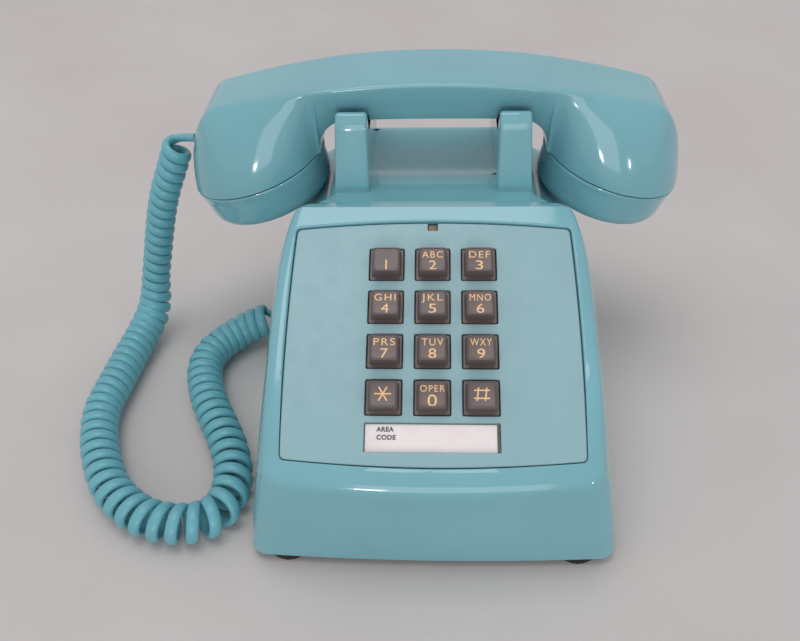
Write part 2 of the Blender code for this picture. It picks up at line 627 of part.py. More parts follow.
def build_handset_body(parts, cutters):
    xs = [-s for s in reversed(HANDSET_STATIONS)] + list(HANDSET_STATIONS[1:])
    body = finish(loft("handset_handle", [handset_ring(x) for x in xs]), parts, "gloss")
    cuts = []
    for side in (-1, 1):
        cuts.append(cylinder("cup_cavity", 17.0, -15, 3, cap_frame(side), sides=32, top_radius=28.0))
        lead = Matrix.Translation((side * 62 * MM, HANDSET_Y * MM, 0))
        cuts.append(cylinder("wire_well", 5.0, 100, 127, lead, sides=14))
    along = Matrix.Translation((0, HANDSET_Y * MM, 126 * MM)) @ Matrix.Rotation(math.pi / 2, 4, "Y")
    cuts.append(cylinder("wire_channel", 3.6, -63, 63, along, sides=14))
    cuts.append(box("jack_pocket", (-112, 34.8, CORD_EXIT_Z - 5.4), (CORD_EXIT_X + 10.7, 47.2, CORD_EXIT_Z + 5.4)))
    for cut in cuts:
        boolean(body, finish(cut, cutters))
    return body


def build_cap(side, name, hole_rings, parts, cutters):
    top = CAP_HEIGHT
    profile = [(29.7, 0.4), (29.3, 3.0), (28.2, top - 3.6), (26.6, top - 1.2), (24.0, top - 0.4), (0, top),
               (0, top - 2.4), (24.0, top - 2.8), (26.0, top - 4.4), (26.8, 0.4)]
    place = cap_frame(side)
    outline = [(r, z) for r, z in reversed(profile)]
    cap = finish(turned_ring(name, outline, place), parts, "gloss", smooth=False)
    for ring_radius, count in hole_rings:
        for k in range(count):
            angle = 2 * math.pi * k / count
            shift = Matrix.Translation((ring_radius * math.cos(angle) * MM, ring_radius * math.sin(angle) * MM, 0))
            hole = cylinder("sound_hole", 1.1, CAP_HEIGHT - 5, CAP_HEIGHT + 3, place @ shift, sides=8)
            boolean(cap, finish(hole, cutters))
    return cap


def turned_ring(name, outline, place):
    """Turns an outline whose two axis points are neighbours, leaving their joining edge out."""
    start = next(i for i, (r, _) in enumerate(outline) if r == 0 and outline[i - 1][0] == 0)
    ordered = outline[start:] + outline[:start]
    return turned(name, ordered, place, steps=36)


def build_capsules(parts):
    cup = [(0, -3.0), (21.0, -3.0), (22.5, 0.0), (22.5, 1.4), (0, 1.4)]
    finish(turned("transmitter_cup", list(reversed(cup)), cap_frame(-1), steps=24), parts, "cream", smooth=False)
    disc = [(0, 1.8), (20.0, 1.8), (22.0, 4.0), (22.0, 10.0), (18.0, 11.4), (0, 11.8)]
    finish(turned("transmitter_unit", list(reversed(disc)), cap_frame(-1), steps=24), parts, "steel", smooth=False)
    ear = [(0, -7.0), (15.0, -7.0), (16.0, 0.0), (22.0, 2.0), (22.5, 10.0), (18.0, 11.4), (0, 11.8)]
    finish(turned("receiver_unit", list(reversed(ear)), cap_frame(1), steps=24), parts, "steel", smooth=False)


# ---------------------------------------------------------------- jacks, plugs and cord
def build_jack(name, place, parts, cutters):
    """A modular jack; its mouth opens along local +X at the origin."""
    jack = finish(box(name, (-10.6, -6.0, -5.0), (0.0, 6.0, 5.0), place), parts, "dark", smooth=False)
    mouth = box("jack_mouth", (-8.8, -4.2, -3.4), (4.0, 4.2, 3.4), place)
    boolean(jack, finish(mouth, cutters))
    return jack


def build_plug(name, place, parts, reach=3.6):
    """A modular plug in its jack; it stands out of the jack's mouth by its reach."""
    plug = box(name, (-8.2, -3.8, -3.0), (reach, 3.8, 3.0), place, bevel=0.4)
    return finish(plug, parts, "clear", smooth=False)


def build_connections(parts, cutters):
    left = Matrix.Rotation(math.pi, 4, "Z")
    handset_end = Matrix.Translation((CORD_EXIT_X * MM, HANDSET_Y * MM, CORD_EXIT_Z * MM)) @ left
    housing_end = Matrix.Translation((-69.2 * MM, JACK_Y * MM, JACK_Z * MM)) @ left
    rear = Matrix.Translation((30.5 * MM, 101.4 * MM, 14 * MM)) @ Matrix.Rotation(math.pi / 2, 4, "Z")
    build_jack("handset_jack", handset_end, parts, cutters)
    build_jack("side_jack", housing_end, parts, cutters)
    build_jack("line_jack", rear, parts, cutters)
    build_plug("handset_plug", handset_end, parts, 5.2)
    build_plug("side_plug", housing_end, parts)


def smooth_route(points, count):
    """Even points along a Catmull-Rom curve through the route's points."""
    ends = [points[0], *points, points[-1]]
    fine = []
    for a, b, c, d in zip(ends, ends[1:], ends[2:], ends[3:]):
        for k in range(12):
            t = k / 12
            fine.append(0.5 * (2 * b + (c - a) * t + (2 * a - 5 * b + 4 * c - d) * t ** 2
                               + (3 * b - a - 3 * c + d) * t ** 3))
    fine.append(points[-1])
    lengths = [0.0]
    for first, second in zip(fine, fine[1:]):
        lengths.append(lengths[-1] + (second - first).length)
    even = []
    index = 0
    for k in range(count):
        target = lengths[-1] * k / (count - 1)
        while index < len(fine) - 2 and lengths[index + 1] < target:
            index += 1
        share = (target - lengths[index]) / (lengths[index + 1] - lengths[index])
        even.append(fine[index].lerp(fine[index + 1], min(1.0, share)))
    return even


def coil_radius(height):
    """Outer radius of the coil at a height of its middle line."""
    share = (height / MM - LYING_Z) / (HUNG_Z - LYING_Z)
    return COIL_R + (COIL_R_HUNG - COIL_R) * min(1.0, max(0.0, share))


def build_tube(name, route, count, radius_at, parts):
    """A closed tube along a route; radius_at gives its radius for a height in metres."""
    curve = bpy.data.curves.new(name, "CURVE")
    curve.dimensions = "3D"
    curve.bevel_depth = MM
    curve.bevel_resolution = 2
    curve.use_fill_caps = True
    even = smooth_route([Vector(point) * MM for point in route], count)
    spline = curve.splines.new("POLY")
    spline.points.add(len(even) - 1)
    for point, place in zip(spline.points, even):
        point.co = (*place, 1.0)
        point.radius = radius_at(place.z)
    tube = bpy.data.objects.new(name, curve)
    parts.objects.link(tube)
    curve.materials.append(material("gloss", *MATERIALS["gloss"]))
    return tube


def build_cord(parts):
    """The coil's outer shape as one fat tube, and the short straight tail at each end."""
    build_tube("handset_cord", CORD_ROUTE, CORD_POINTS, coil_radius, parts)
    build_tube("cord_tail_handset", HANDSET_TAIL, TAIL_POINTS, lambda height: WIRE_R, parts)
    build_tube("cord_tail_side", SIDE_TAIL, TAIL_POINTS, lambda height: WIRE_R, parts)


def main():
    clear_scene()
    parts = new_collection("desk_telephone")
    cutters = new_collection("cutters")
    build_housing(parts, cutters)
    build_faceplate(parts, cutters)
    for index in range(len(KEY_NAMES)):
        build_key(index, parts)
    build_dial(parts, cutters)
    build_base(parts, cutters)
    build_ringer(parts, cutters)
    build_network(parts)
    build_hookswitch(parts, cutters)
    build_handset_body(parts, cutters)
    build_cap(1, "receiver_cap", ((0.0, 1), (6.0, 6)), parts, cutters)
    build_cap(-1, "transmitter_cap", ((0.0, 1), (5.0, 6), (10.0, 10)), parts, cutters)
    build_capsules(parts)
    build_connections(parts, cutters)
    build_cord(parts)


main()
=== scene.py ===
"""Looks of a push-button desk telephone: fine shells, legends, coiled cord and materials.

Axes as in the frame: +X to the user's right, +Y to the back, +Z up; Z = 0 is the table.
Lengths are written in millimetres and turned into metres by MM.
"""
import math

import bmesh
import bpy
from mathutils import Euler, Matrix, Vector


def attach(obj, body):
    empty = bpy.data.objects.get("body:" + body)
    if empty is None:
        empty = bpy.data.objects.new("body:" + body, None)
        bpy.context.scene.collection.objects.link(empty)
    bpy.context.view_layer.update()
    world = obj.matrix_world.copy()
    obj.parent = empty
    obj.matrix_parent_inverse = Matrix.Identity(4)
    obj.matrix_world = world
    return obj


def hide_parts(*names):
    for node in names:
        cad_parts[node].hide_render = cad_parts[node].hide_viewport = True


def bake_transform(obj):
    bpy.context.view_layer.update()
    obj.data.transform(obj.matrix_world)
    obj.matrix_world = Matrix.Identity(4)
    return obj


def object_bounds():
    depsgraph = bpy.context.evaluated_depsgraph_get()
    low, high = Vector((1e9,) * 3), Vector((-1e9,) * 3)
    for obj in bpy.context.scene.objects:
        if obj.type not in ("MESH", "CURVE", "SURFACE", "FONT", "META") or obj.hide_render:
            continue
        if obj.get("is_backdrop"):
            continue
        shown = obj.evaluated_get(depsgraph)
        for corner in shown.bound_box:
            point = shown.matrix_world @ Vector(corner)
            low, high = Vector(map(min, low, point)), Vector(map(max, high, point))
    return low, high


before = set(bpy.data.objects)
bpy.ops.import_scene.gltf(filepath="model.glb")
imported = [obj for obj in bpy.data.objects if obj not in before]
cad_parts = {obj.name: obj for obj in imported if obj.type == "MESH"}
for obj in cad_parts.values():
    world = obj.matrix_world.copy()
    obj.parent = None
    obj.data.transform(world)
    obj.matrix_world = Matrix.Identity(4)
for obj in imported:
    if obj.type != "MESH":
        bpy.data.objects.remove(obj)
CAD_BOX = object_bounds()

MM = 0.001
GAP = 0.3                          # clearance between touching pieces

# Housing
FRONT_Y, REAR_Y = -102.0, 102.0
BASE_Z = 4.4
WALL = 2.8
TOP_WALL = 5.4
FRONT_CORNER = 6.0
FRONT_EDGE = 4.0
FRONT_BULGE = 4.5                  # how far the front wall bows forward in plan, at its top
FLAT_SHARE = 0.3                   # share of the bow left at its foot
FRONT_LEAN = 2.3                   # how far the foot of the front wall stands back
FRONT_TOP_Z = 50.0
BULGE_DEPTH = 40.0
BULGE_HALF_X = 60.0                # half width at which the bow is measured
WAIST_FALL, SHOULDER_FALL = 6.0, 14.0   # least drop of the waist and the shoulder from the roof
FLOOR_STEPS = 8                    # points from a foot of the wall to the middle of the floor

# Sloping key panel
SLOPE = math.radians(27.0)
PANEL_Y, PANEL_Z = -48.0, 76.0
RIM_PROUD = 0.8
PLATE_THICK = 2.2
PLATE_BOTTOM, PLATE_TOP = -48.9, 41.4
PLATE_HALF_BOTTOM, PLATE_HALF_TOP = 53.6, 52.7
PLATE_BOW = 2.6
PLATE_SIDE_BOW = 1.0
KEY_PITCH = 17.4625                # 11/16 inch
KEY_OPENING = 13.5
WINDOW_HALF_X, WINDOW_LOW, WINDOW_HIGH = 24.1, -46.0, -35.3

# Cradle
DECK_Z, DECK_FRONT_Y, DECK_REAR_Y = 96.0, 24.0, 66.0
SADDLE_Z = 116.8
EAR_TOP_Z = 127.5
EAR_IN_X, EAR_OUT_X = 26.0, 38.6
EAR_FRONT_Y = 12.5
PLUNGER_X, PLUNGER_R = 33.0, 2.9

# Handset
HANDSET_Y = 41.0
HANDSET_HALF = 104.8
HANDLE_TOP_Z = 137.5
HANDLE_UNDER_Z = 119.4
HANDLE_HALF, END_HALF, UNDER_HALF = 17.0, 14.0, 10.0   # half widths: middle, ends, underside
ARCH_RADIUS, UNDER_RADIUS = 350.0, 1300.0
TAPER_START, TOP_FLAT_END = 40.0, 87.0
END_ROUND = 1.7                    # fullness of the rounded ends; 2 is an ellipse
CAP_X, CAP_Z = 76.0, 95.6
CAP_R = 30.0
CAP_TILT = math.radians(16.0)
CAP_HEIGHT = 17.4
CUP_INNER_ROUND = 12.0
CORD_EXIT_X, CORD_EXIT_Z = -99.6, 106.0

# Handset cord: the middle line of its coil, and the coil's own turns
COIL_R, COIL_R_HUNG = 8.2, 6.75    # lying, and where its own weight stretches it
HUNG_Z, LYING_Z = 32.0, 12.8
WIRE_THICK, WIRE_WIDE = 3.4, 5.0   # flattened cord, thin across the coil's wall
TURN_POINTS = 20
FIRST_TURN = math.radians(50.0)    # where round the coil its first turn starts
JACK_Y, JACK_Z = 29.0, 13.5
COIL_ROUTE = (
    (-111.5, 42.5, 100.5), (-116.8, 42.2, 89.0), (-120.8, 42.0, 80.3), (-125.2, 41.5, 68.6),
    (-129.4, 41.0, 54.8), (-132.5, 40.0, 43.4), (-135.4, 38.0, 31.8), (-136.9, 35.4, 22.6),
    (-139.0, 30.8, 14.8), (-142.1, 21.6, 10.0), (-144.9, 5.4, 8.6), (-146.8, -14.0, 8.6),
    (-147.7, -27.3, 8.6), (-145.5, -40.2, 8.6), (-139.9, -55.7, 8.6), (-131.7, -70.2, 8.6),
    (-122.4, -79.4, 8.6), (-111.3, -85.8, 8.6), (-98.8, -87.8, 8.6), (-89.9, -85.9, 8.6),
    (-84.4, -81.2, 8.6), (-82.0, -74.0, 8.6), (-82.3, -62.7, 8.6), (-86.7, -49.5, 8.6),
    (-93.2, -36.5, 8.6), (-99.7, -24.4, 8.6), (-105.2, -10.2, 8.6), (-107.0, 1.4, 8.6),
    (-104.6, 11.0, 8.6), (-98.6, 19.2, 8.8), (-91.4, 24.8, 10.2), (-82.4, 28.2, 12.4),
)
# turns counted from the handset: share of the route's length that they have reached
TURN_ROWS = ((0.0, 0.0), (9.0, 0.123), (16.8, 0.2335), (33.0, 0.4515), (56.0, 0.834), (68.5, 1.0))
HANDSET_EXIT = (-102.0, HANDSET_Y, CORD_EXIT_Z)
SIDE_ENTRY = (-73.1, JACK_Y, JACK_Z)
EXIT_REACH, ENTRY_REACH = 5.0, 4.5


# ------------------------------------ camera
def build_camera():
    focal_share = 818.0 / 800.0            # focal length over the picture's width
    data = bpy.data.cameras.new("camera")
    data.sensor_width = 36.0
    data.lens = data.sensor_width * focal_share
    data.clip_start = 0.01
    camera = bpy.data.objects.new("camera", data)
    camera.location = Vector((0.51, -271.34, 278.78)) * MM
    camera.rotation_euler = Euler([math.radians(a) for a in (48.373, 1.463, 1.874)], "XYZ")
    bpy.context.scene.collection.objects.link(camera)
    bpy.context.scene.camera = camera


# ------------------------------------ materials
def linear(red, green, blue):
    """Display colour 0-255 to linear."""
    values = [c / 255.0 for c in (red, green, blue)]
    return tuple(c / 12.92 if c <= 0.04045 else ((c + 0.055) / 1.055) ** 2.4 for c in values)


class Nodes:
    """A small builder for one material's node tree, in object coordinates (metres)."""

    def __init__(self, name):
        self.material = bpy.data.materials.new(name)
        self.material.use_nodes = True
        self.tree = self.material.node_tree
        self.shader = self.tree.nodes["Principled BSDF"]
        self.place = self.tree.nodes.new("ShaderNodeTexCoord").outputs["Object"]

    def link(self, source, target):
        self.tree.links.new(source, target)

    def noise(self, size, detail=3.0, stretch=(1.0, 1.0, 1.0), roughness=0.55):
        """Noise from 0 to 1 whose blobs are about size millimetres across."""
        node = self.tree.nodes.new("ShaderNodeTexNoise")
        for key, value in (("Scale", 1.0 / (size * MM)), ("Detail", detail), ("Roughness", roughness)):
            node.inputs[key].default_value = value
        mapping = self.tree.nodes.new("ShaderNodeMapping")
        mapping.inputs["Scale"].default_value = stretch
        self.link(self.place, mapping.inputs["Vector"])
        self.link(mapping.outputs["Vector"], node.inputs["Vector"])
        return node.outputs["Fac"]

    def between(self, factor, low, high):
        """A value that runs from low to high across the middle of a noise's range."""
        node = self.tree.nodes.new("ShaderNodeMapRange")
        for key, value in (("From Min", 0.3), ("From Max", 0.7), ("To Min", low), ("To Max", high)):
            node.inputs[key].default_value = value
        self.link(factor, node.inputs["Value"])
        return node.outputs["Result"]

    def mix(self, factor, first, second):
        node = self.tree.nodes.new("ShaderNodeMix")
        node.data_type = "RGBA"
        self.link(factor, node.inputs[0])
        for socket, value in ((node.inputs[6], first), (node.inputs[7], second)):
            if isinstance(value, tuple):
                socket.default_value = (*value, 1.0)
            else:
                self.link(value, socket)
        return node.outputs[2]

    def drift(self, size, detail, first, second):
        """A colour that changes slowly from one to the other, in blobs of about size millimetres."""
        return self.mix(self.between(self.noise(size, detail), 0.0, 1.0), first, second)

    def bump(self, height, depth, strength=1.0, previous=None):
        """Relief of depth millimetres."""
        node = self.tree.nodes.new("ShaderNodeBump")
        node.inputs["Strength"].default_value = strength
        node.inputs["Distance"].default_value = depth * MM
        self.link(height, node.inputs["Height"])
        if previous:
            self.link(previous, node.inputs["Normal"])
        return node.outputs["Normal"]

    def set(self, **values):
        for key, value in values.items():
            socket = self.shader.inputs[key.replace("_", " ")]
            if isinstance(value, bpy.types.NodeSocket):
                self.link(value, socket)
            else:
                socket.default_value = (*value, 1.0) if isinstance(value, tuple) else value
        return self.material


def shade(color, factor):
    return tuple(min(1.0, c * factor) for c in color)


def plastic(name, color, roughness, relief=0.02, relief_size=1.4, spread=0.04, coat=0.0):
    """Moulded plastic: slow colour drift, fine grain in the gloss, faint orange peel."""
    nodes = Nodes(name)
    hue = nodes.drift(34.0, 4.0, shade(color, 1.0 - spread), shade(color, 1.0 + spread))
    handled = nodes.between(nodes.noise(9.0, 6.0, roughness=0.7), roughness * 0.8, roughness * 1.35)
    peel = nodes.bump(nodes.noise(relief_size * 3.0, 2.0), relief)
    grain = nodes.bump(nodes.noise(relief_size * 0.25, 2.0), relief * 0.08, previous=peel)
    return nodes.set(Base_Color=hue, Roughness=handled, Normal=grain, Coat_Weight=coat,
                     Coat_Roughness=0.04)


def metal(name, color, roughness, stretch):
    """Sheet or turned metal with drawn streaks and a little tarnish."""
    nodes = Nodes(name)
    hue = nodes.drift(14.0, 5.0, shade(color, 0.82), shade(color, 1.06))
    lines = nodes.noise(1.2, 3.0, stretch)
    gloss = nodes.between(lines, roughness * 0.75, roughness * 1.4)
    return nodes.set(Base_Color=hue, Roughness=gloss, Metallic=1.0, Normal=nodes.bump(lines, 0.01))


def card_paper(name):
    nodes = Nodes(name)
    fibre = nodes.noise(0.35, 4.0, (1.0, 2.2, 1.0))
    hue = nodes.drift(12.0, 3.0, linear(240, 226, 226), linear(247, 236, 235))
    rough = nodes.between(fibre, 0.65, 0.85)
    return nodes.set(Base_Color=hue, Roughness=rough, Normal=nodes.bump(fibre, 0.02))


def printed(name, color, roughness=0.45):
    """Filled or printed legend, a little uneven in tone."""
    nodes = Nodes(name)
    hue = nodes.drift(0.8, 3.0, shade(color, 0.86), shade(color, 1.08))
    return nodes.set(Base_Color=hue, Roughness=roughness, Normal=nodes.bump(nodes.noise(0.3), 0.01))


def clear_sheet(name):
    nodes = Nodes(name)
    haze = nodes.between(nodes.noise(6.0, 5.0), 0.03, 0.08)
    return nodes.set(Base_Color=(0.9, 0.92, 0.92), Roughness=haze, Alpha=0.05)


def circuit_sheet(name):
    nodes = Nodes(name)
    weave = nodes.noise(1.0, 2.0, (1.0, 5.0, 1.0))
    hue = nodes.mix(nodes.between(weave, 0.0, 1.0), (0.16, 0.085, 0.03), (0.25, 0.14, 0.055))
    return nodes.set(Base_Color=hue, Roughness=0.5, Normal=nodes.bump(weave, 0.02))


def floor_cloth(name):
    nodes = Nodes(name)
    hue = nodes.drift(160.0, 3.0, linear(198, 191, 189), linear(207, 201, 199))
    weave = nodes.noise(1.6, 2.0, (1.0, 2.4, 1.0))
    return nodes.set(Base_Color=hue, Roughness=0.9, Normal=nodes.bump(weave, 0.12, 0.5))


TURQUOISE = linear(117, 174, 184)
PLATE_TONE = linear(139, 176, 183)
KEY_TONE = linear(98, 84, 82)

MATERIALS = {
    "gloss": plastic("gloss_turquoise", TURQUOISE, 0.11, relief=0.012, coat=0.4),
    "cord": plastic("cord_turquoise", linear(104, 172, 184), 0.32, relief=0.015, relief_size=0.8),
    "plate": plastic("satin_faceplate", PLATE_TONE, 0.36, relief=0.012, relief_size=0.9, spread=0.03),
    "key": plastic("key_brown", KEY_TONE, 0.3, relief=0.02, relief_size=0.5, spread=0.06),
    "legend": printed("legend_gold", linear(246, 196, 140)),
    "ink": printed("ink_black", linear(40, 38, 40), 0.6),
    "card": card_paper("card_paper"),
    "clear": clear_sheet("clear_plastic"),
    "cream": plastic("cream_plastic", linear(222, 214, 196), 0.42),
    "dark": plastic("black_plastic", linear(38, 38, 40), 0.36),
    "rubber": plastic("black_rubber", linear(24, 23, 23), 0.72, relief=0.06, relief_size=0.7),
    "steel": metal("zinc_steel", (0.52, 0.53, 0.54), 0.34, (1.0, 7.0, 1.0)),
    "bronze": metal("bronze_latch", (0.2, 0.15, 0.11), 0.45, (1.0, 5.0, 1.0)),
    "brass": metal("brass_gong", (0.76, 0.58, 0.28), 0.22, (1.0, 1.0, 8.0)),
    "board": circuit_sheet("circuit_board"),
    "floor": floor_cloth("floor_cloth"),
}


# ------------------------------------ shape helpers (sizes in mm)
def add(name, mesh, kind=None, matrix=None):
    obj = bpy.data.objects.new(name, mesh)
    bpy.context.scene.collection.objects.link(obj)
    if matrix is not None:
        obj.matrix_world = matrix
    if kind:
        mesh.materials.append(MATERIALS[kind])
    return obj


def smooth(obj, angle=38.0):
    obj.data.shade_smooth()
    obj.data.set_sharp_from_angle(angle=math.radians(angle))
    return obj


def flatten(obj):
    """Lets big flat faces keep their own normal next to small rounds."""
    modifier = obj.modifiers.new("flat_normals", "WEIGHTED_NORMAL")
    modifier.mode = "FACE_AREA"
    modifier.weight = 100
    modifier.keep_sharp = True


def from_bmesh(name, bm, kind=None, matrix=None):
    bmesh.ops.recalc_face_normals(bm, faces=bm.faces)
    mesh = bpy.data.meshes.new(name)
    bm.to_mesh(mesh)
    bm.free()
    mesh.transform(Matrix.Scale(MM, 4))
    return add(name, mesh, kind, matrix)


def box(name, low, high, kind=None, matrix=None, bevel=0.0, segments=3):
    bm = bmesh.new()
    size = [high[i] - low[i] for i in range(3)]
    middle = [(high[i] + low[i]) / 2 for i in range(3)]
    place = Matrix.Translation(middle) @ Matrix.Diagonal((*size, 1.0))
    bmesh.ops.create_cube(bm, size=1.0, matrix=place)
    if bevel:
        bmesh.ops.bevel(bm, geom=bm.edges[:], offset=bevel, segments=segments, affect="EDGES",
                        profile=0.5)
    return from_bmesh(name, bm, kind, matrix)


def cylinder(name, radius, low, high, matrix, sides=48, top_radius=None):
    bm = bmesh.new()
    top_radius = radius if top_radius is None else top_radius
    bmesh.ops.create_cone(bm, cap_ends=True, segments=sides, radius1=radius, radius2=top_radius,
                          depth=high - low, matrix=Matrix.Translation((0, 0, (low + high) / 2)))
    return from_bmesh(name, bm, None, matrix)


def turned(name, profile, kind, matrix, steps):
    """A closed profile of (radius, height) points turned about local Z; radius 0 is a pole."""
    bm = bmesh.new()
    rings = []
    for radius, height in profile:
        if radius == 0:
            rings.append([bm.verts.new((0, 0, height))] * steps)
            continue
        angles = [2 * math.pi * k / steps for k in range(steps)]
        rings.append([bm.verts.new((radius * math.cos(a), radius * math.sin(a), height))
                      for a in angles])
    pairs = list(zip(rings, rings[1:]))
    if profile[0][0] and profile[-1][0]:
        pairs.append((rings[-1], rings[0]))
    for first, second in pairs:
        for i in range(steps):
            j = (i + 1) % steps
            corners = dict.fromkeys((first[i], first[j], second[j], second[i]))
            if len(corners) > 2:
                bm.faces.new(list(corners))
    return from_bmesh(name, bm, kind, matrix)


def skin(name, rings, kind=None, matrix=None):
    """A solid through rings of equal point count; each end is closed by one face fan."""
    bm = bmesh.new()
    loops = [[bm.verts.new(point) for point in ring] for ring in rings]
    for first, second in zip(loops, loops[1:]):
        for i in range(len(first)):
            j = (i + 1) % len(first)
            bm.faces.new((first[i], first[j], second[j], second[i]))
    for loop in (loops[0], loops[-1]):
        middle = bm.verts.new(sum((v.co for v in loop), Vector()) / len(loop))
        for i in range(len(loop)):
            bm.faces.new((loop[i], loop[(i + 1) % len(loop)], middle))
    return from_bmesh(name, bm, kind, matrix)


def stacked(name, layers, kind=None, matrix=None):
    """A solid through flat outlines (outline, height) of equal point count."""
    return skin(name, [[(x, y, z) for x, y in outline] for outline, z in layers], kind, matrix)


def bake(obj):
    """Makes an object's modifiers part of its mesh."""
    evaluated = obj.evaluated_get(bpy.context.evaluated_depsgraph_get())
    mesh = bpy.data.meshes.new_from_object(evaluated)
    obj.modifiers.clear()
    obj.data = mesh


def carve(obj, cutters, operation="DIFFERENCE"):
    """Cuts the cutters out of obj, or joins them to it, and removes them."""
    for cutter in cutters:
        modifier = obj.modifiers.new(operation.lower(), "BOOLEAN")
        modifier.operation = operation
        modifier.object = cutter
        modifier.solver = "EXACT"
    bake(obj)
    for cutter in cutters:
        bpy.data.objects.remove(cutter, do_unlink=True)


def join(name, objects):
    """Several pieces of one material as one mesh, in the shared frame."""
    bm = bmesh.new()
    material = objects[0].data.materials[0]
    for obj in objects:
        part = obj.data.copy()
        part.transform(obj.matrix_world)
        bm.from_mesh(part)
        bpy.data.objects.remove(obj, do_unlink=True)
    mesh = bpy.data.meshes.new(name)
    bm.to_mesh(mesh)
    bm.free()
    mesh.materials.append(material)
    return add(name, mesh)


def fillet(corner, before, after, radius, steps=6):
    """Points of a round that replaces a corner of an open outline."""
    corner, before, after = Vector(corner), Vector(before), Vector(after)
    start = corner + (before - corner).normalized() * radius
    end = corner + (after - corner).normalized() * radius
    points = []
    for i in range(steps + 1):
        t = i / steps
        points.append(tuple(start * (1 - t) ** 2 + corner * (2 * t * (1 - t)) + end * t ** 2))
    return points


def rounded(points, steps=5, closed=False):
    """An outline of (x, y, radius) corners with each corner rounded off."""
    count = len(points)
    outline = []
    for i, (x, y, radius) in enumerate(points):
        ends = not closed and i in (0, count - 1)
        if radius == 0 or ends:
            outline.append((x, y))
            continue
        outline += fillet((x, y), points[i - 1][:2], points[(i + 1) % count][:2], radius, steps)
    return outline


def rounded_box_outline(half_x, half_y, radius, steps=5, side_points=0):
    """A box with round corners, and some points along each of its straight sides."""
    corners = ((half_x, half_y), (-half_x, half_y), (-half_x, -half_y), (half_x, -half_y))
    turns = rounded([(x, y, radius) for x, y in corners], steps, closed=True)
    outline = []
    for i, point in enumerate(turns):
        outline.append(point)
        if (i + 1) % (steps + 1) == 0:
            following = turns[(i + 1) % len(turns)]
            for k in range(1, side_points + 1):
                t = k / (side_points + 1)
                outline.append(tuple(a + (b - a) * t for a, b in zip(point, following)))
    return outline


def slopes(rows):
    """Shape-keeping slope at each (at, value) row of a table."""
    steps = [(b[1] - a[1]) / (b[0] - a[0]) for a, b in zip(rows, rows[1:])]
    inner = [0.0 if a * b <= 0 else 2 * a * b / (a + b) for a, b in zip(steps, steps[1:])]
    return [steps[0], *inner, steps[-1]]


def curve_through(rows, at):
    """A smooth curve through (at, value) rows that never overshoots them."""
    if at <= rows[0][0]:
        return rows[0][1]
    if at >= rows[-1][0]:
        return rows[-1][1]
    lean = slopes(rows)
    for i, (low, high) in enumerate(zip(rows, rows[1:])):
        if at <= high[0]:
            width = high[0] - low[0]
            t = (at - low[0]) / width
            ease = 3 * t ** 2 - 2 * t ** 3
            start = t ** 3 - 2 * t ** 2 + t
            end = t ** 3 - t ** 2
            return low[1] + (high[1] - low[1]) * ease + width * (start * lean[i] + end * lean[i + 1])


def curves_through(rows, at):
    """The same for rows with several values."""
    return [curve_through([(row[0], row[k]) for row in rows], at) for k in range(1, len(rows[0]))]


def quarter(depth, radius):
    """How far a round of this radius falls back at a depth inside its edge."""
    if depth >= radius:
        return 0.0
    return radius - math.sqrt(radius ** 2 - (radius - depth) ** 2)


def round_steps(radius, steps, first=1):
    """How far a round edge stands back and how far it drops, at even angles up to its top."""
    turns = [math.radians(90 * k / steps) for k in range(first, steps + 1)]
    return [(radius * (1 - math.cos(turn)), radius * (1 - math.sin(turn))) for turn in turns]


def settle(obj, body, slot, *nodes):
    """Puts a piece on the body it rides on and hides the CAD nodes it stands for; the finish given as
    slot is not used.
    """
    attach(obj, body)
    if nodes:
        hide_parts(*nodes)


PANEL = Matrix.Translation((0, PANEL_Y * MM, PANEL_Z * MM)) @ Matrix.Rotation(SLOPE, 4, "X")


def on_panel(x, y):
    """Local +Z points out of the sloping panel; the origin is at x, y on it."""
    return PANEL @ Matrix.Translation((x * MM, y * MM, 0))


# ------------------------------------ handset cord
def smooth_route(points, steps=24):
    """Points along a Catmull-Rom curve, each with its share of the whole length."""
    ends = [points[0], *points, points[-1]]
    fine = []
    for a, b, c, d in zip(ends, ends[1:], ends[2:], ends[3:]):
        for k in range(steps):
            t = k / steps
            fine.append(0.5 * (2 * b + (c - a) * t + (2 * a - 5 * b + 4 * c - d) * t ** 2
                               + (3 * b - a - 3 * c + d) * t ** 3))
    fine.append(points[-1])
    lengths = [0.0]
    for first, second in zip(fine, fine[1:]):
        lengths.append(lengths[-1] + (second - first).length)
    return fine, [length / lengths[-1] for length in lengths]


def lead(start, start_way, end, end_way, reach, count=12):
    """Points of a soft S from start to end, both ends left out; reach is how far it runs straight."""
    a, b, c, d = start, start + start_way * reach, end - end_way * reach, end
    points = []
    for k in range(1, count):
        t = k / count
        s = 1 - t
        points.append(a * s ** 3 + b * (3 * s * s * t) + c * (3 * s * t * t) + d * t ** 3)
    return points


def coil_radius(height):
    """Outer radius of the coil at a height of its middle line."""
    share = (height - LYING_Z) / (HUNG_Z - LYING_Z)
    return COIL_R + (COIL_R_HUNG - COIL_R) * min(1.0, max(0.0, share))


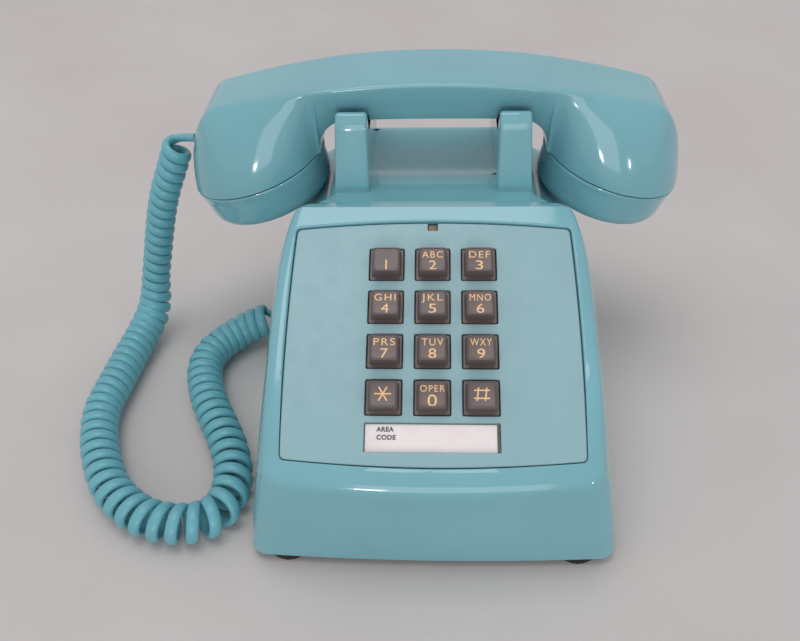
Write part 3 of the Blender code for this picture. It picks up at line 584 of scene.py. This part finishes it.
def coil_points():
    """The cord's middle line round its coil, and the direction out of the coil at each point."""
    route, shares = smooth_route([Vector(p) for p in COIL_ROUTE])
    turns = TURN_ROWS[-1][0]
    middles = []
    index = 0
    for k in range(int(turns * TURN_POINTS) + 1):
        share = curve_through(TURN_ROWS, k / TURN_POINTS)
        while index < len(shares) - 2 and shares[index + 1] < share:
            index += 1
        t = (share - shares[index]) / (shares[index + 1] - shares[index])
        middles.append(route[index].lerp(route[index + 1], min(1.0, max(0.0, t))))
    points, outs = [], []
    across = Vector((0, 1, 0))
    for k, middle in enumerate(middles):
        before, after = middles[max(0, k - 8)], middles[min(len(middles) - 1, k + 8)]
        along = (after - before).normalized()
        across = (across - along * across.dot(along)).normalized()
        side = along.cross(across)
        angle = -2 * math.pi * k / TURN_POINTS - FIRST_TURN
        out = across * math.cos(angle) + side * math.sin(angle)
        points.append(middle + out * (coil_radius(middle.z) - WIRE_THICK / 2))
        outs.append(out)
    return points, outs


def cord_line():
    """The whole cord: lead from the handset, coil, lead into the side jack."""
    points, outs = coil_points()
    exit_point, entry = Vector(HANDSET_EXIT), Vector(SIDE_ENTRY)
    first_way = (points[1] - points[0]).normalized()
    last_way = (points[-1] - points[-2]).normalized()
    start = [exit_point, *lead(exit_point, Vector((-1, 0, 0)), points[0], first_way, EXIT_REACH)]
    end = [*lead(points[-1], last_way, entry, Vector((1, 0, 0)), ENTRY_REACH), entry]
    up = Vector((0, 0.7, 0.7))
    start_outs = [up.lerp(outs[0], k / len(start)) for k in range(len(start))]
    end_outs = [outs[-1].lerp(up, (k + 1) / len(end)) for k in range(len(end))]
    return start + points + end, start_outs + outs + end_outs


def wire_section(count=14, squareness=2.2):
    """Outline of the flattened cord: (out, along the coil)."""
    outline = []
    for k in range(count):
        angle = 2 * math.pi * (k + 0.5) / count
        c, s = math.cos(angle), math.sin(angle)
        out = math.copysign(abs(c) ** (2 / squareness), c) * WIRE_THICK / 2
        wide = math.copysign(abs(s) ** (2 / squareness), s) * WIRE_WIDE / 2
        outline.append((out, wide))
    return outline


def build_cord():
    line, outs = cord_line()
    section = wire_section()
    rings = []
    for k, (point, out) in enumerate(zip(line, outs)):
        along = (line[min(len(line) - 1, k + 1)] - line[max(0, k - 1)]).normalized()
        out = (out - along * out.dot(along)).normalized()
        side = along.cross(out)
        rings.append([point + out * a + side * b for a, b in section])
    cord = smooth(skin("coiled_handset_cord", rings, "cord"), 60.0)
    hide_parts("handset_cord", "cord_tail_handset", "cord_tail_side")
    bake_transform(cord)


# ------------------------------------ housing
# y: half width of the deck, waist x and z, shoulder x and z, base half width
SIDE_ROWS = (
    (-102.0, 59.4, 62.8, 40.0, 66.4, 24.0, 69.4),
    (-75.0, 60.0, 63.4, 52.0, 67.2, 30.0, 71.0),
    (-40.0, 59.2, 62.8, 68.0, 67.4, 40.0, 71.2),
    (-6.0, 54.6, 58.2, 89.0, 61.8, 77.0, 71.0),
    (4.0, 49.0, 54.0, 87.0, 60.6, 78.5, 70.5),
    (14.0, 41.4, 44.8, 85.5, 59.5, 79.0, 70.5),
    (66.0, 41.4, 44.8, 85.5, 59.5, 79.0, 70.0),
    (80.0, 42.0, 47.0, 75.5, 58.0, 69.0, 69.5),
    (92.0, 46.0, 51.0, 55.0, 58.6, 48.0, 68.8),
    (102.0, 50.0, 53.4, 29.0, 59.0, 22.0, 65.5),
)
# y: height of the middle of the roof behind the panel's ridge
ROOF_ROWS = ((-2.6, 99.5), (0.5, 98.8), (3.4, 96.8), (6.0, DECK_Z), (DECK_FRONT_Y, 96.4), (34.0, 94.4),
             (50.0, 94.0), (DECK_REAR_Y, DECK_Z), (72.0, 93.0), (80.0, 84.0), (92.0, 62.0),
             (99.0, 43.0), (102.0, 33.0))


def roof_height(y):
    if y > ROOF_ROWS[0][0]:
        return curve_through(ROOF_ROWS, y)
    plane = PANEL_Z + RIM_PROUD / math.cos(SLOPE) + (y - PANEL_Y) * math.tan(SLOPE)
    return plane - quarter(y - FRONT_Y, FRONT_EDGE)


def even_points(start, end, steps):
    """Points from start to end, both included, in even steps."""
    return [tuple(a + (b - a) * k / steps for a, b in zip(start, end)) for k in range(steps + 1)]


def housing_half(y, inset, floor):
    """Right half of the housing's outline at y, from the middle of the roof to the floor."""
    deck, waist_x, waist_z, shoulder_x, shoulder_z, base = curves_through(SIDE_ROWS, y)
    plan = quarter(y - FRONT_Y, FRONT_CORNER) + quarter(REAR_Y - y, FRONT_CORNER)
    shrink = plan + inset
    drop = TOP_WALL * inset / WALL
    top = roof_height(y)
    flat_top = max(top, DECK_Z) if DECK_FRONT_Y <= y <= DECK_REAR_Y else top
    deck_point = (deck - shrink, flat_top - drop)
    waist = (waist_x - shrink, min(waist_z, top - WAIST_FALL) - drop)
    shoulder = (shoulder_x - shrink, min(shoulder_z, top - SHOULDER_FALL) - drop)
    foot = (base - shrink, floor)
    middle = (0.0, top - drop)
    dish = (EAR_IN_X - 2.0, top - drop)
    half = even_points(middle, dish, 6) + even_points(dish, deck_point, 4)[1:-1]
    half += fillet(deck_point, dish, waist, 3.4, 7)
    half += fillet(waist, deck_point, shoulder, 3.0, 5)
    half += fillet(shoulder, waist, foot, 7.0, 6)
    return half + even_points(half[-1], foot, FLOOR_STEPS)[1:]


def bowed(x, y, z):
    """The front wall bows forward in the middle, most of all at its top, and its foot stands back."""
    share = max(0.0, 1.0 - (y - FRONT_Y) / BULGE_DEPTH)
    rise = min(1.0, max(0.0, z / FRONT_TOP_Z))
    bow = FRONT_BULGE * (FLAT_SHARE + (1 - FLAT_SHARE) * rise)
    return x, y + share * (bow * (x / BULGE_HALF_X) ** 2 + FRONT_LEAN * (1 - rise)), z


def housing_ring(y, inset, floor):
    half = housing_half(y, inset, floor)
    foot = half[-1]
    under = [(foot[0] * k / FLOOR_STEPS, floor) for k in range(FLOOR_STEPS - 1, -FLOOR_STEPS, -1)]
    left = [(-x, z) for x, z in reversed(half[1:])]
    return [(x, y, z) for x, z in half + under + left]


def housing_stations(inset):
    """Places along Y: close together in the rounds, wider apart between them."""
    first, last = FRONT_Y + inset, REAR_Y - inset
    rounds = [first + 0.02 + FRONT_CORNER * (1 - math.cos(math.radians(a))) for a in range(0, 91, 9)]
    steps = [-88.0 + 4.0 * k for k in range(21)]
    ridge = [-7.0 + 0.75 * k for k in range(21)]
    deck = [10.0 + 2.0 * k for k in range(41)]
    rear = [last - FRONT_CORNER * (1 - math.cos(math.radians(a))) for a in range(72, -1, -9)]
    every = sorted(y for y in rounds + steps + ridge + deck + rear if first <= y <= last)
    kept = [every[0]]
    for y in every[1:]:
        if y - kept[-1] > 0.1:
            kept.append(y)
    return kept


def closing_rings(ring, count=5):
    """Rings that shrink to the middle of an end wall."""
    low, high = min(p[2] for p in ring), max(p[2] for p in ring)
    middle = (low + high) / 2
    rings = []
    for k in range(1, count):
        share = 1 - k / count
        rings.append([(x * share, y, middle + (z - middle) * share) for x, y, z in ring])
    return rings


def housing_body(name, inset, floor, kind=None):
    rings = [housing_ring(y, inset, floor) for y in housing_stations(inset)]
    rings = list(reversed(closing_rings(rings[0]))) + rings + closing_rings(rings[-1])
    return skin(name, [[bowed(*point) for point in ring] for ring in rings], kind)


def ear_outline():
    """Side outline (y, z) of one cradle block: front ear, saddle, rear ear."""
    half = HANDSET_Y - EAR_FRONT_Y
    front = [(-half, 84.0, 0), (-half, DECK_Z, 4.0), (-23.2, 123.6, 2.4), (-19.8, EAR_TOP_Z, 1.7),
             (-16.8, EAR_TOP_Z - 1.2, 1.4), (-13.4, SADDLE_Z, 2.4)]
    rear = [(-y, z, radius) for y, z, radius in reversed(front)]
    return [(HANDSET_Y + y, z) for y, z in rounded(front + rear, 6)]


def shrunk(outline, distance):
    """A closed clockwise outline moved inward by a distance, point by point."""
    moved = []
    for i, point in enumerate(outline):
        following = Vector(outline[(i + 1) % len(outline)])
        before = (Vector(point) - Vector(outline[i - 1])).normalized()
        after = (following - Vector(point)).normalized()
        along = (before + after).normalized()
        inward = Vector((along.y, -along.x))
        moved.append(tuple(Vector(point) + inward * distance / max(0.5, along.dot(after))))
    return moved


def cradle_block(side):
    """One side block; its edges are rounded and its outer face widens towards the deck."""
    edge, lean, block_height = 1.3, 2.6, 41.5
    rings = []
    for face, way in ((EAR_IN_X, 1), (EAR_OUT_X, -1)):
        for back, drop in round_steps(edge, 4, 0)[::way]:
            outline = shrunk(ear_outline(), drop)
            x = face + way * back
            spread = lean if way < 0 else 0.0
            rings.append([(side * (x + spread * max(0.0, (EAR_TOP_Z - z) / block_height) ** 1.6), y, z)
                          for y, z in outline])
    return skin("cradle_block", rings)


def faceplate_outline(grow, corner=2.4):
    """Slightly barrel-shaped outline of the faceplate, in panel coordinates."""
    bottom, top = PLATE_BOTTOM - grow, PLATE_TOP + grow
    low, high = PLATE_HALF_BOTTOM + grow, PLATE_HALF_TOP + grow
    corners = [(-low, bottom), (low, bottom), (high, top), (-high, top)]
    bows = (PLATE_BOW, PLATE_SIDE_BOW, PLATE_BOW, PLATE_SIDE_BOW)
    points, sides = [], []
    for i in range(4):
        start, end = Vector(corners[i]), Vector(corners[(i + 1) % 4])
        along = (end - start).normalized()
        outward = Vector((along.y, -along.x))
        first, last = start + along * corner, end - along * corner
        side = []
        for k in range(25):
            t = k / 24
            side.append(tuple(first + (last - first) * t + outward * bows[i] * 4 * t * (1 - t)))
        sides.append(side)
    for i, side in enumerate(sides):
        following = sides[(i + 1) % 4]
        points += side
        points += fillet(corners[(i + 1) % 4], side[-1], following[0], corner * 0.98, 5)[1:-1]
    return points


def plate_pocket():
    """Cutter for the faceplate's recess, with a small round at its mouth."""
    mouth = 0.7
    layers = [(faceplate_outline(GAP), height) for height in (-PLATE_THICK - GAP, RIM_PROUD - mouth)]
    for grow, drop in round_steps(mouth, 4):
        layers.append((faceplate_outline(GAP + grow), RIM_PROUD - drop))
    layers.append((faceplate_outline(GAP + mouth + 0.05), 9.0))
    return stacked("plate_pocket", layers, None, PANEL)


def build_housing():
    housing = housing_body("housing_shell", 0.0, BASE_Z, "gloss")
    carve(housing, [cradle_block(-1), cradle_block(1)], "UNION")
    hollow = housing_body("hollow", WALL, BASE_Z - 8.0)
    carve(hollow, [box("pocket_liner", (-29, 64, 58), (29, 104, 100), bevel=2.0)])
    cuts = [hollow, plate_pocket()]
    cuts.append(box("carrying_pocket", (-26, 68, 61), (26, 112, 88), bevel=3.0, segments=5))
    dial_layers = [(faceplate_outline(-3.2), height) for height in (-12.0, 2.0)]
    cuts.append(stacked("dial_opening", dial_layers, None, PANEL))
    cuts.append(box("side_jack_hole", (-80, JACK_Y - 6.5, JACK_Z - 6.0),
                    (-55, JACK_Y + 6.5, JACK_Z + 6.0)))
    cuts.append(box("line_jack_hole", (24, 92, 8.0), (37, 112, 20.0)))
    for side in (-1, 1):
        x = side * PLUNGER_X
        cuts.append(box("ear_hollow", (x - 4.6, 19, 80), (x + 4.6, 63, 113.5), bevel=0.8))
        shift = Matrix.Translation((x * MM, HANDSET_Y * MM, 0))
        cuts.append(cylinder("plunger_hole", PLUNGER_R + 0.35, 100, 135, shift, 40))
    carve(housing, cuts)
    settle(smooth(housing), "root", "turquoise_gloss", "housing")


# ------------------------------------ faceplate, card and latch
KEY_NAMES = ("1", "2", "3", "4", "5", "6", "7", "8", "9", "star", "0", "pound")
LETTERS = ("", "ABC", "DEF", "GHI", "JKL", "MNO", "PRS", "TUV", "WXY", "", "OPER", "")


def key_centre(index):
    column, row = index % 3, index // 3
    return (column - 1) * KEY_PITCH, (1.5 - row) * KEY_PITCH


def soft_opening(half_x, half_y, radius, round_off):
    """Cutter for an opening with rounded corners and a small round at its mouth."""
    growing = [(0.0, -6.0), (0.0, -round_off)]
    growing += [(grow, -drop) for grow, drop in round_steps(round_off, 3)]
    growing.append((round_off * 1.05, 3.0))
    return [(rounded_box_outline(half_x + grow, half_y + grow, radius + grow), height)
            for grow, height in growing]


def build_faceplate():
    slack, edge = 0.1, 0.45
    layers = [(faceplate_outline(-slack), -PLATE_THICK)]
    layers += [(faceplate_outline(-slack - back), -drop) for back, drop in round_steps(edge, 4, 0)]
    plate = stacked("faceplate_sheet", layers, "plate", PANEL)
    cuts = []
    half = KEY_OPENING / 2
    for index in range(len(KEY_NAMES)):
        place = on_panel(*key_centre(index))
        cuts.append(stacked("key_hole", soft_opening(half, half, 0.7, 0.25), None, place))
    place = on_panel(0, (WINDOW_LOW + WINDOW_HIGH) / 2)
    opening = soft_opening(WINDOW_HALF_X, (WINDOW_HIGH - WINDOW_LOW) / 2, 0.5, 0.25)
    cuts.append(stacked("window_hole", opening, None, place))
    cuts.append(box("latch_notch", (-2.0, PLATE_TOP - 0.9, -6), (2.0, PLATE_TOP + 8, 6), None, PANEL))
    carve(plate, cuts)
    flatten(smooth(plate, 30.0))
    settle(plate, "root", "turquoise_panel", "faceplate")
    latch = box("latch_tongue", (-1.7, PLATE_TOP - 0.6, -2.1), (1.7, PLATE_TOP + 2.2, -0.9),
                "bronze", PANEL, 0.25)
    settle(smooth(latch), "root", "bronze_latch", "faceplate_latch")


def build_card():
    card_low, card_top, cover_low, cover_top = -2.1, -1.6, -1.2, -0.3
    left, low, high = -WINDOW_HALF_X + GAP, WINDOW_LOW + GAP, WINDOW_HIGH - GAP
    card = box("number_card_paper", (left, low, card_low), (WINDOW_HALF_X - 1.2, high, card_top),
               "card", PANEL, 0.12)
    settle(card, "root", "card", "number_card")
    cover = box("card_cover", (left, low, cover_low), (-left, high, cover_top), "clear", PANEL, 0.15)
    settle(cover, "root", "clear_plastic", "card_window")
    lines = []
    for line, height in (("AREA", WINDOW_HIGH - 3.0), ("CODE", WINDOW_HIGH - 5.9)):
        lines.append(lettering(line, 1.7, (-WINDOW_HALF_X + 4.4, height), lambda x, y: card_top + 0.04,
                               "ink", "LEFT", weight=0.08))
    settle(join("card_print", lines), "root", None)


INK_PROUD, INK_SUNK = 0.06, -0.12  # top and foot of a legend, from the surface it lies on
FONT_CAP_SHARE = 0.729             # height of the built-in font's capitals, as a share of its size


def lettering(text, cap_height, place, surface, kind, align="CENTER", spacing=1.1, width=None,
              weight=0.0):
    """Raised lettering on the key panel. place is the foot of the line, in panel coordinates,
    surface gives the height below it at each place, width is the line's whole width, and weight
    thickens its strokes on each side."""
    curve = bpy.data.curves.new("lettering", "FONT")
    curve.body = text
    curve.align_x = align
    curve.size = cap_height * MM / FONT_CAP_SHARE
    curve.space_character = spacing
    curve.offset = weight * MM
    curve.extrude = 0.05 * MM
    curve.resolution_u = 6
    text_object = bpy.data.objects.new("lettering", curve)
    bpy.context.scene.collection.objects.link(text_object)
    evaluated = text_object.evaluated_get(bpy.context.evaluated_depsgraph_get())
    mesh = bpy.data.meshes.new_from_object(evaluated)
    bpy.data.objects.remove(text_object, do_unlink=True)
    mesh.materials.clear()
    reach = max(v.co.x for v in mesh.vertices) - min(v.co.x for v in mesh.vertices)
    stretch = width * MM / reach if width else 1.0
    for vertex in mesh.vertices:
        x = vertex.co.x * stretch / MM + place[0]
        y = vertex.co.y / MM + place[1]
        lift = INK_PROUD if vertex.co.z > 0 else INK_SUNK
        vertex.co = Vector((x, y, surface(x, y) + lift)) * MM
    return add("lettering", mesh, kind, PANEL)


# ------------------------------------ keys
CAP_LOW_HALF, CAP_TOP_HALF_X, CAP_TOP_HALF_Y = 5.25, 5.05, 4.9
CAP_TOP_Z = 4.9
CAP_DISH = 0.45
CAP_ROUND = 0.55
FLANGE_HALF, FLANGE_FOOT, FLANGE_TOP = 6.35, -1.6, -0.3
STEM_HALF, STEM_FOOT = 3.9, -12.0
STROKE = 0.52


def key_top(x, y):
    """Height of the hollow top of a key, at a place from its middle."""
    share = (x / CAP_TOP_HALF_X) ** 2 * 0.5 + (y / CAP_TOP_HALF_Y) ** 2 * 0.5
    return CAP_TOP_Z - CAP_DISH * max(0.0, 1.0 - share)


def key_layers():
    """(half x, half y, corner radius, height) from the stem's foot to the edge of the top."""
    square = ((STEM_HALF, 0.4, STEM_FOOT), (STEM_HALF, 0.4, FLANGE_FOOT),
              (FLANGE_HALF, 0.7, FLANGE_FOOT), (FLANGE_HALF, 0.7, FLANGE_TOP - 0.2),
              (FLANGE_HALF - 0.2, 0.6, FLANGE_TOP), (CAP_LOW_HALF + 0.35, 1.0, FLANGE_TOP),
              (CAP_LOW_HALF, 0.9, FLANGE_TOP + 0.4))
    layers = [(half, half, radius, height) for half, radius, height in square]
    layers.append((CAP_TOP_HALF_X + 0.1, CAP_TOP_HALF_Y + 0.1, 0.9, CAP_TOP_Z - 0.8))
    for back, drop in round_steps(CAP_ROUND, 3):
        x, y = CAP_TOP_HALF_X + 0.05 - back, CAP_TOP_HALF_Y + 0.05 - back
        layers.append((x, y, 0.95, CAP_TOP_Z - drop))
    return layers


def build_key(index):
    name = KEY_NAMES[index]
    x, y = key_centre(index)
    rings = [[(px, py, height) for px, py in rounded_box_outline(half_x, half_y, radius, 5, 7)]
             for half_x, half_y, radius, height in key_layers()]
    rim = rings[-1]
    for share in (0.97, 0.86, 0.72, 0.58, 0.44, 0.3, 0.16):
        rings.append([(px * share, py * share, key_top(px * share, py * share)) for px, py, _ in rim])
    key = smooth(skin("button_" + name, rings, "key", on_panel(x, y)), 35.0)
    settle(key, "key_" + name, "key_brown", "key_" + name)
    legend = join("legend_" + name, legend_parts(index, x, y))
    settle(legend, "key_" + name, None)


def bar(start, end, x, y, stroke=STROKE):
    """One straight stroke of a symbol, laid on the hollow top of the key at x, y."""
    start, end = Vector(start), Vector(end)
    middle = (start + end) / 2
    turn = Matrix.Rotation(math.atan2(end.y - start.y, end.x - start.x), 2)
    outline = rounded_box_outline((end - start).length / 2, stroke / 2, stroke * 0.45, 3, 9)
    points = [middle + turn @ Vector(point) for point in outline]
    rings = [[(px, py, key_top(px, py) + lift) for px, py in points] for lift in (INK_SUNK, INK_PROUD)]
    return skin("bar", rings, "legend", on_panel(x, y))


def legend_parts(index, x, y):
    name = KEY_NAMES[index]
    if name == "1":
        return [bar((0.0, -4.2), (0.0, -0.1), x, y, 0.6)]
    if name == "star":
        reach = 3.0
        ways = [math.radians(60 * k) for k in range(3)]
        tips = [(reach * math.cos(way), reach * math.sin(way)) for way in ways]
        return [bar((-tip_x, -tip_y), (tip_x, tip_y), x, y) for tip_x, tip_y in tips]
    if name == "pound":
        lean, half, apart = 0.28, 2.5, 1.45
        bars = []
        for way in (-apart, apart):
            bars.append(bar((way - lean, -half), (way + lean, half), x, y))
            bars.append(bar((-half - 0.3, way), (half + 0.3, way), x, y))
        return bars
    wide = name == "0"
    letter_height, letters_width = (2.5, 8.7) if wide else (2.8, 7.8)
    digit_height, digit_width = (4.6, 3.3) if wide else (3.9, 2.8)

    def surface(at_x, at_y):
        return key_top(at_x - x, at_y - y)

    foot = y + 2.1 - letter_height / 2
    letters = lettering(LETTERS[index], letter_height, (x, foot), surface, "legend", spacing=1.2,
                        width=letters_width)
    foot = y - 2.2 - digit_height / 2
    return [letters, lettering(name, digit_height, (x, foot), surface, "legend", width=digit_width)]


# ------------------------------------ handset
CUP_INNER_X = CAP_X - CAP_R * math.cos(CAP_TILT)


def seam_height(s):
    return CAP_Z + (CAP_X - s) * math.tan(CAP_TILT)


def handset_half_section(s):
    """Top z, top half width, bottom z and bottom half width at a distance s from the middle."""
    end_low = seam_height(HANDSET_HALF)
    top = HANDLE_TOP_Z - s ** 2 / (2 * ARCH_RADIUS)
    taper = max(0.0, (s - TAPER_START) / (TOP_FLAT_END - TAPER_START))
    top_half = HANDLE_HALF - (HANDLE_HALF - END_HALF) * taper
    if s > TOP_FLAT_END:
        along = min(1.0, (s - TOP_FLAT_END) / (HANDSET_HALF - TOP_FLAT_END))
        share = (1 - along ** END_ROUND) ** (1 / END_ROUND)
        flat_end = HANDLE_TOP_Z - TOP_FLAT_END ** 2 / (2 * ARCH_RADIUS)
        top = end_low + (flat_end - end_low) * share
        top_half = END_HALF * share
    reach = CAP_R ** 2 - ((s - CAP_X) / math.cos(CAP_TILT)) ** 2
    circle = math.sqrt(max(0.0, reach))
    if s < CUP_INNER_X:
        fall = quarter(CUP_INNER_X - s, CUP_INNER_ROUND)
        return top, top_half, HANDLE_UNDER_Z - s ** 2 / (2 * UNDER_RADIUS) - fall, UNDER_HALF
    return top, top_half, seam_height(s) + 0.15, max(circle, UNDER_HALF if s < CAP_X else 0.6)


def handset_stations():
    """Distances from the middle: even along the handle, by angle in the rounds."""
    stations = [2.0 * k for k in range(18)]
    stations += [CUP_INNER_X - CUP_INNER_ROUND * (1 - math.cos(math.radians(a)))
                 for a in range(90, -1, -6)]
    stations += [CUP_INNER_X + 0.05, CUP_INNER_X + 0.6]
    stations += [CUP_INNER_X + 2.0 * k for k in range(1, 20)]
    end = HANDSET_HALF - TOP_FLAT_END
    stations += [TOP_FLAT_END + end * math.sin(math.radians(a)) for a in range(0, 91, 5)]
    return sorted({round(s, 4) for s in stations if s <= HANDSET_HALF})


def handset_half(s):
    """Half outline (across, height) from the middle of the top to the lower edge."""
    top, top_half, low, low_half = handset_half_section(s)
    top, top_half = max(top, low + 0.6), max(top_half, 0.5)
    side = []
    for k in range(17):
        t = k / 16
        grow = 1 - (1 - t) ** 1.6 if low_half > top_half else t ** 1.5
        side.append((top_half + (low_half - top_half) * grow, top - (top - low) * t ** 1.15))
    inner = (top_half * 0.85, top)
    edge_round = min(1.8, top_half * 0.12, math.dist(side[0], side[3]) * 0.9)
    flat = [(inner[0] * k / 6, top) for k in range(7)]
    return flat + fillet(side[0], inner, side[3], edge_round, 5) + side[3:]


def handset_loop(x):
    half = handset_half(abs(x))
    low = half[-1]
    under = [(low[0] * share / 4, low[1]) for share in range(3, -4, -1)]
    points = half + under + [(-y, z) for y, z in reversed(half[1:])]
    return [(x, HANDSET_Y + y, z) for y, z in points]


def cap_frame(side):
    """Local +Z points out of the cap; the origin is the centre of the seam circle."""
    turn = Matrix.Rotation(math.pi + side * CAP_TILT, 4, "Y")
    return Matrix.Translation((side * CAP_X * MM, HANDSET_Y * MM, CAP_Z * MM)) @ turn


def build_handset_body():
    stations = handset_stations()
    xs = [-s for s in reversed(stations)] + stations[1:]
    body = skin("handset_shell", [handset_loop(x) for x in xs], "gloss")
    cuts = []
    for side in (-1, 1):
        cuts.append(cylinder("cup_cavity", 17.0, -15, 3, cap_frame(side), top_radius=28.0))
    pocket = 5.4
    cuts.append(box("jack_pocket", (-112, 34.8, CORD_EXIT_Z - pocket),
                    (CORD_EXIT_X + 10.7, 47.2, CORD_EXIT_Z + pocket), bevel=0.8))
    carve(body, cuts)
    settle(smooth(body, 52.0), "handset", "turquoise_gloss", "handset_handle")


def cap_profile():
    """Outline of a screwed-on cap, from its inner pole round the rim to its outer pole."""
    top = CAP_HEIGHT
    inside = [(0.0, top - 2.4), (24.0, top - 2.8), (26.0, top - 4.4), (26.8, 0.5)]
    outside = [(29.75, 0.5, 0.0), (29.95, 1.2, 0.4), (29.2, 4.0, 0.8), (28.1, top - 3.4, 1.8),
               (26.2, top - 0.8, 1.6), (20.0, top, 2.0), (0.0, top, 0.0)]
    return inside + rounded(outside, 5)


def build_cap(side, name, node, hole_rings):
    cap = turned(name, cap_profile(), "gloss", cap_frame(side), 96)
    holes = []
    for ring_radius, count in hole_rings:
        for k in range(count):
            angle = 2 * math.pi * k / count
            shift = Vector((ring_radius * math.cos(angle) * MM, ring_radius * math.sin(angle) * MM, 0))
            place = cap_frame(side) @ Matrix.Translation(shift)
            holes.append(cylinder("sound_hole", 1.1, CAP_HEIGHT - 5, CAP_HEIGHT + 3, place, 20))
    carve(cap, holes)
    settle(smooth(cap, 32.0), "handset", "turquoise_gloss", node)


def build_handset():
    build_handset_body()
    build_cap(1, "receiver_cap_shell", "receiver_cap", ((0.0, 1), (6.0, 6)))
    build_cap(-1, "transmitter_cap_shell", "transmitter_cap", ((0.0, 1), (5.0, 6), (10.0, 10)))


# ------------------------------------ pieces kept from the frame
NODE_FINISH = {
    "steel": ("base_plate", "housing_screw_left", "housing_screw_right", "ringer_frame",
              "gong_screw_left", "gong_screw_right", "hookswitch_bracket", "hookswitch_lever",
              "receiver_unit", "transmitter_unit"),
    "brass": ("gong_left", "gong_right", "clapper"),
    "cream": ("dial_frame", "contact_spring_stack", "transmitter_cup"),
    "board": ("dial_circuit_board",),
    "rubber": ("foot_front_left", "foot_front_right", "foot_rear_left", "foot_rear_right"),
    "clear": ("plunger_left", "plunger_right", "handset_plug", "side_plug"),
    "dark": ("dial_inductor_left", "dial_inductor_right", "ringer_coil", "network_unit", "volume_wheel",
             "side_jack", "line_jack", "handset_jack"),
}


def finish_nodes():
    for kind, names in NODE_FINISH.items():
        for name in names:
            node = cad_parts[name]
            if not node.material_slots:
                node.data.materials.append(MATERIALS[kind])
            for slot in node.material_slots:
                slot.material = MATERIALS[kind]


# ------------------------------------ floor and light
def build_floor():
    bm = bmesh.new()
    bmesh.ops.create_grid(bm, x_segments=2, y_segments=2, size=3000.0)
    floor = from_bmesh("floor", bm, "floor")
    floor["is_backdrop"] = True


def area_light(name, place, aim, size, power, color=(1.0, 1.0, 1.0), size_y=None):
    data = bpy.data.lights.new(name, "AREA")
    data.energy = power
    data.color = color
    data.shape = "RECTANGLE"
    data.size = size
    data.size_y = size_y or size
    light = bpy.data.objects.new(name, data)
    light.location = place
    light.rotation_euler = (Vector(aim) - Vector(place)).to_track_quat("-Z", "Y").to_euler()
    bpy.context.scene.collection.objects.link(light)


def build_light():
    world = bpy.data.worlds.new("room")
    world.use_nodes = True
    background = world.node_tree.nodes["Background"]
    background.inputs["Color"].default_value = (0.86, 0.86, 0.88, 1.0)
    background.inputs["Strength"].default_value = 0.72
    bpy.context.scene.world = world
    aim = (0.0, 0.0, 0.06)
    area_light("soft_top", (-0.2, 0.0, 1.8), aim, 1.0, 8.0)
    area_light("soft_front", (0.1, -1.9, 0.55), aim, 1.0, 5.0)
    daylight = (0.92, 0.96, 1.0)
    area_light("window_left", (-0.25, -1.5, 0.2), aim, 0.12, 1.4, daylight, 0.16)
    area_light("window_right", (0.75, -1.2, 0.25), aim, 0.04, 0.7, daylight, 0.16)


def main():
    build_camera()
    build_cord()
    build_housing()
    build_faceplate()
    build_card()
    for index in range(len(KEY_NAMES)):
        build_key(index)
    build_handset()
    finish_nodes()
    build_floor()
    build_light()
    bpy.context.scene.view_settings.view_transform = "Standard"


main()


def plain(value):
    """Nested vectors as plain lists of numbers."""
    try:
        return [plain(item) for item in value]
    except TypeError:
        return float(value)


{"cad": plain(CAD_BOX), "visual": plain(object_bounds())}
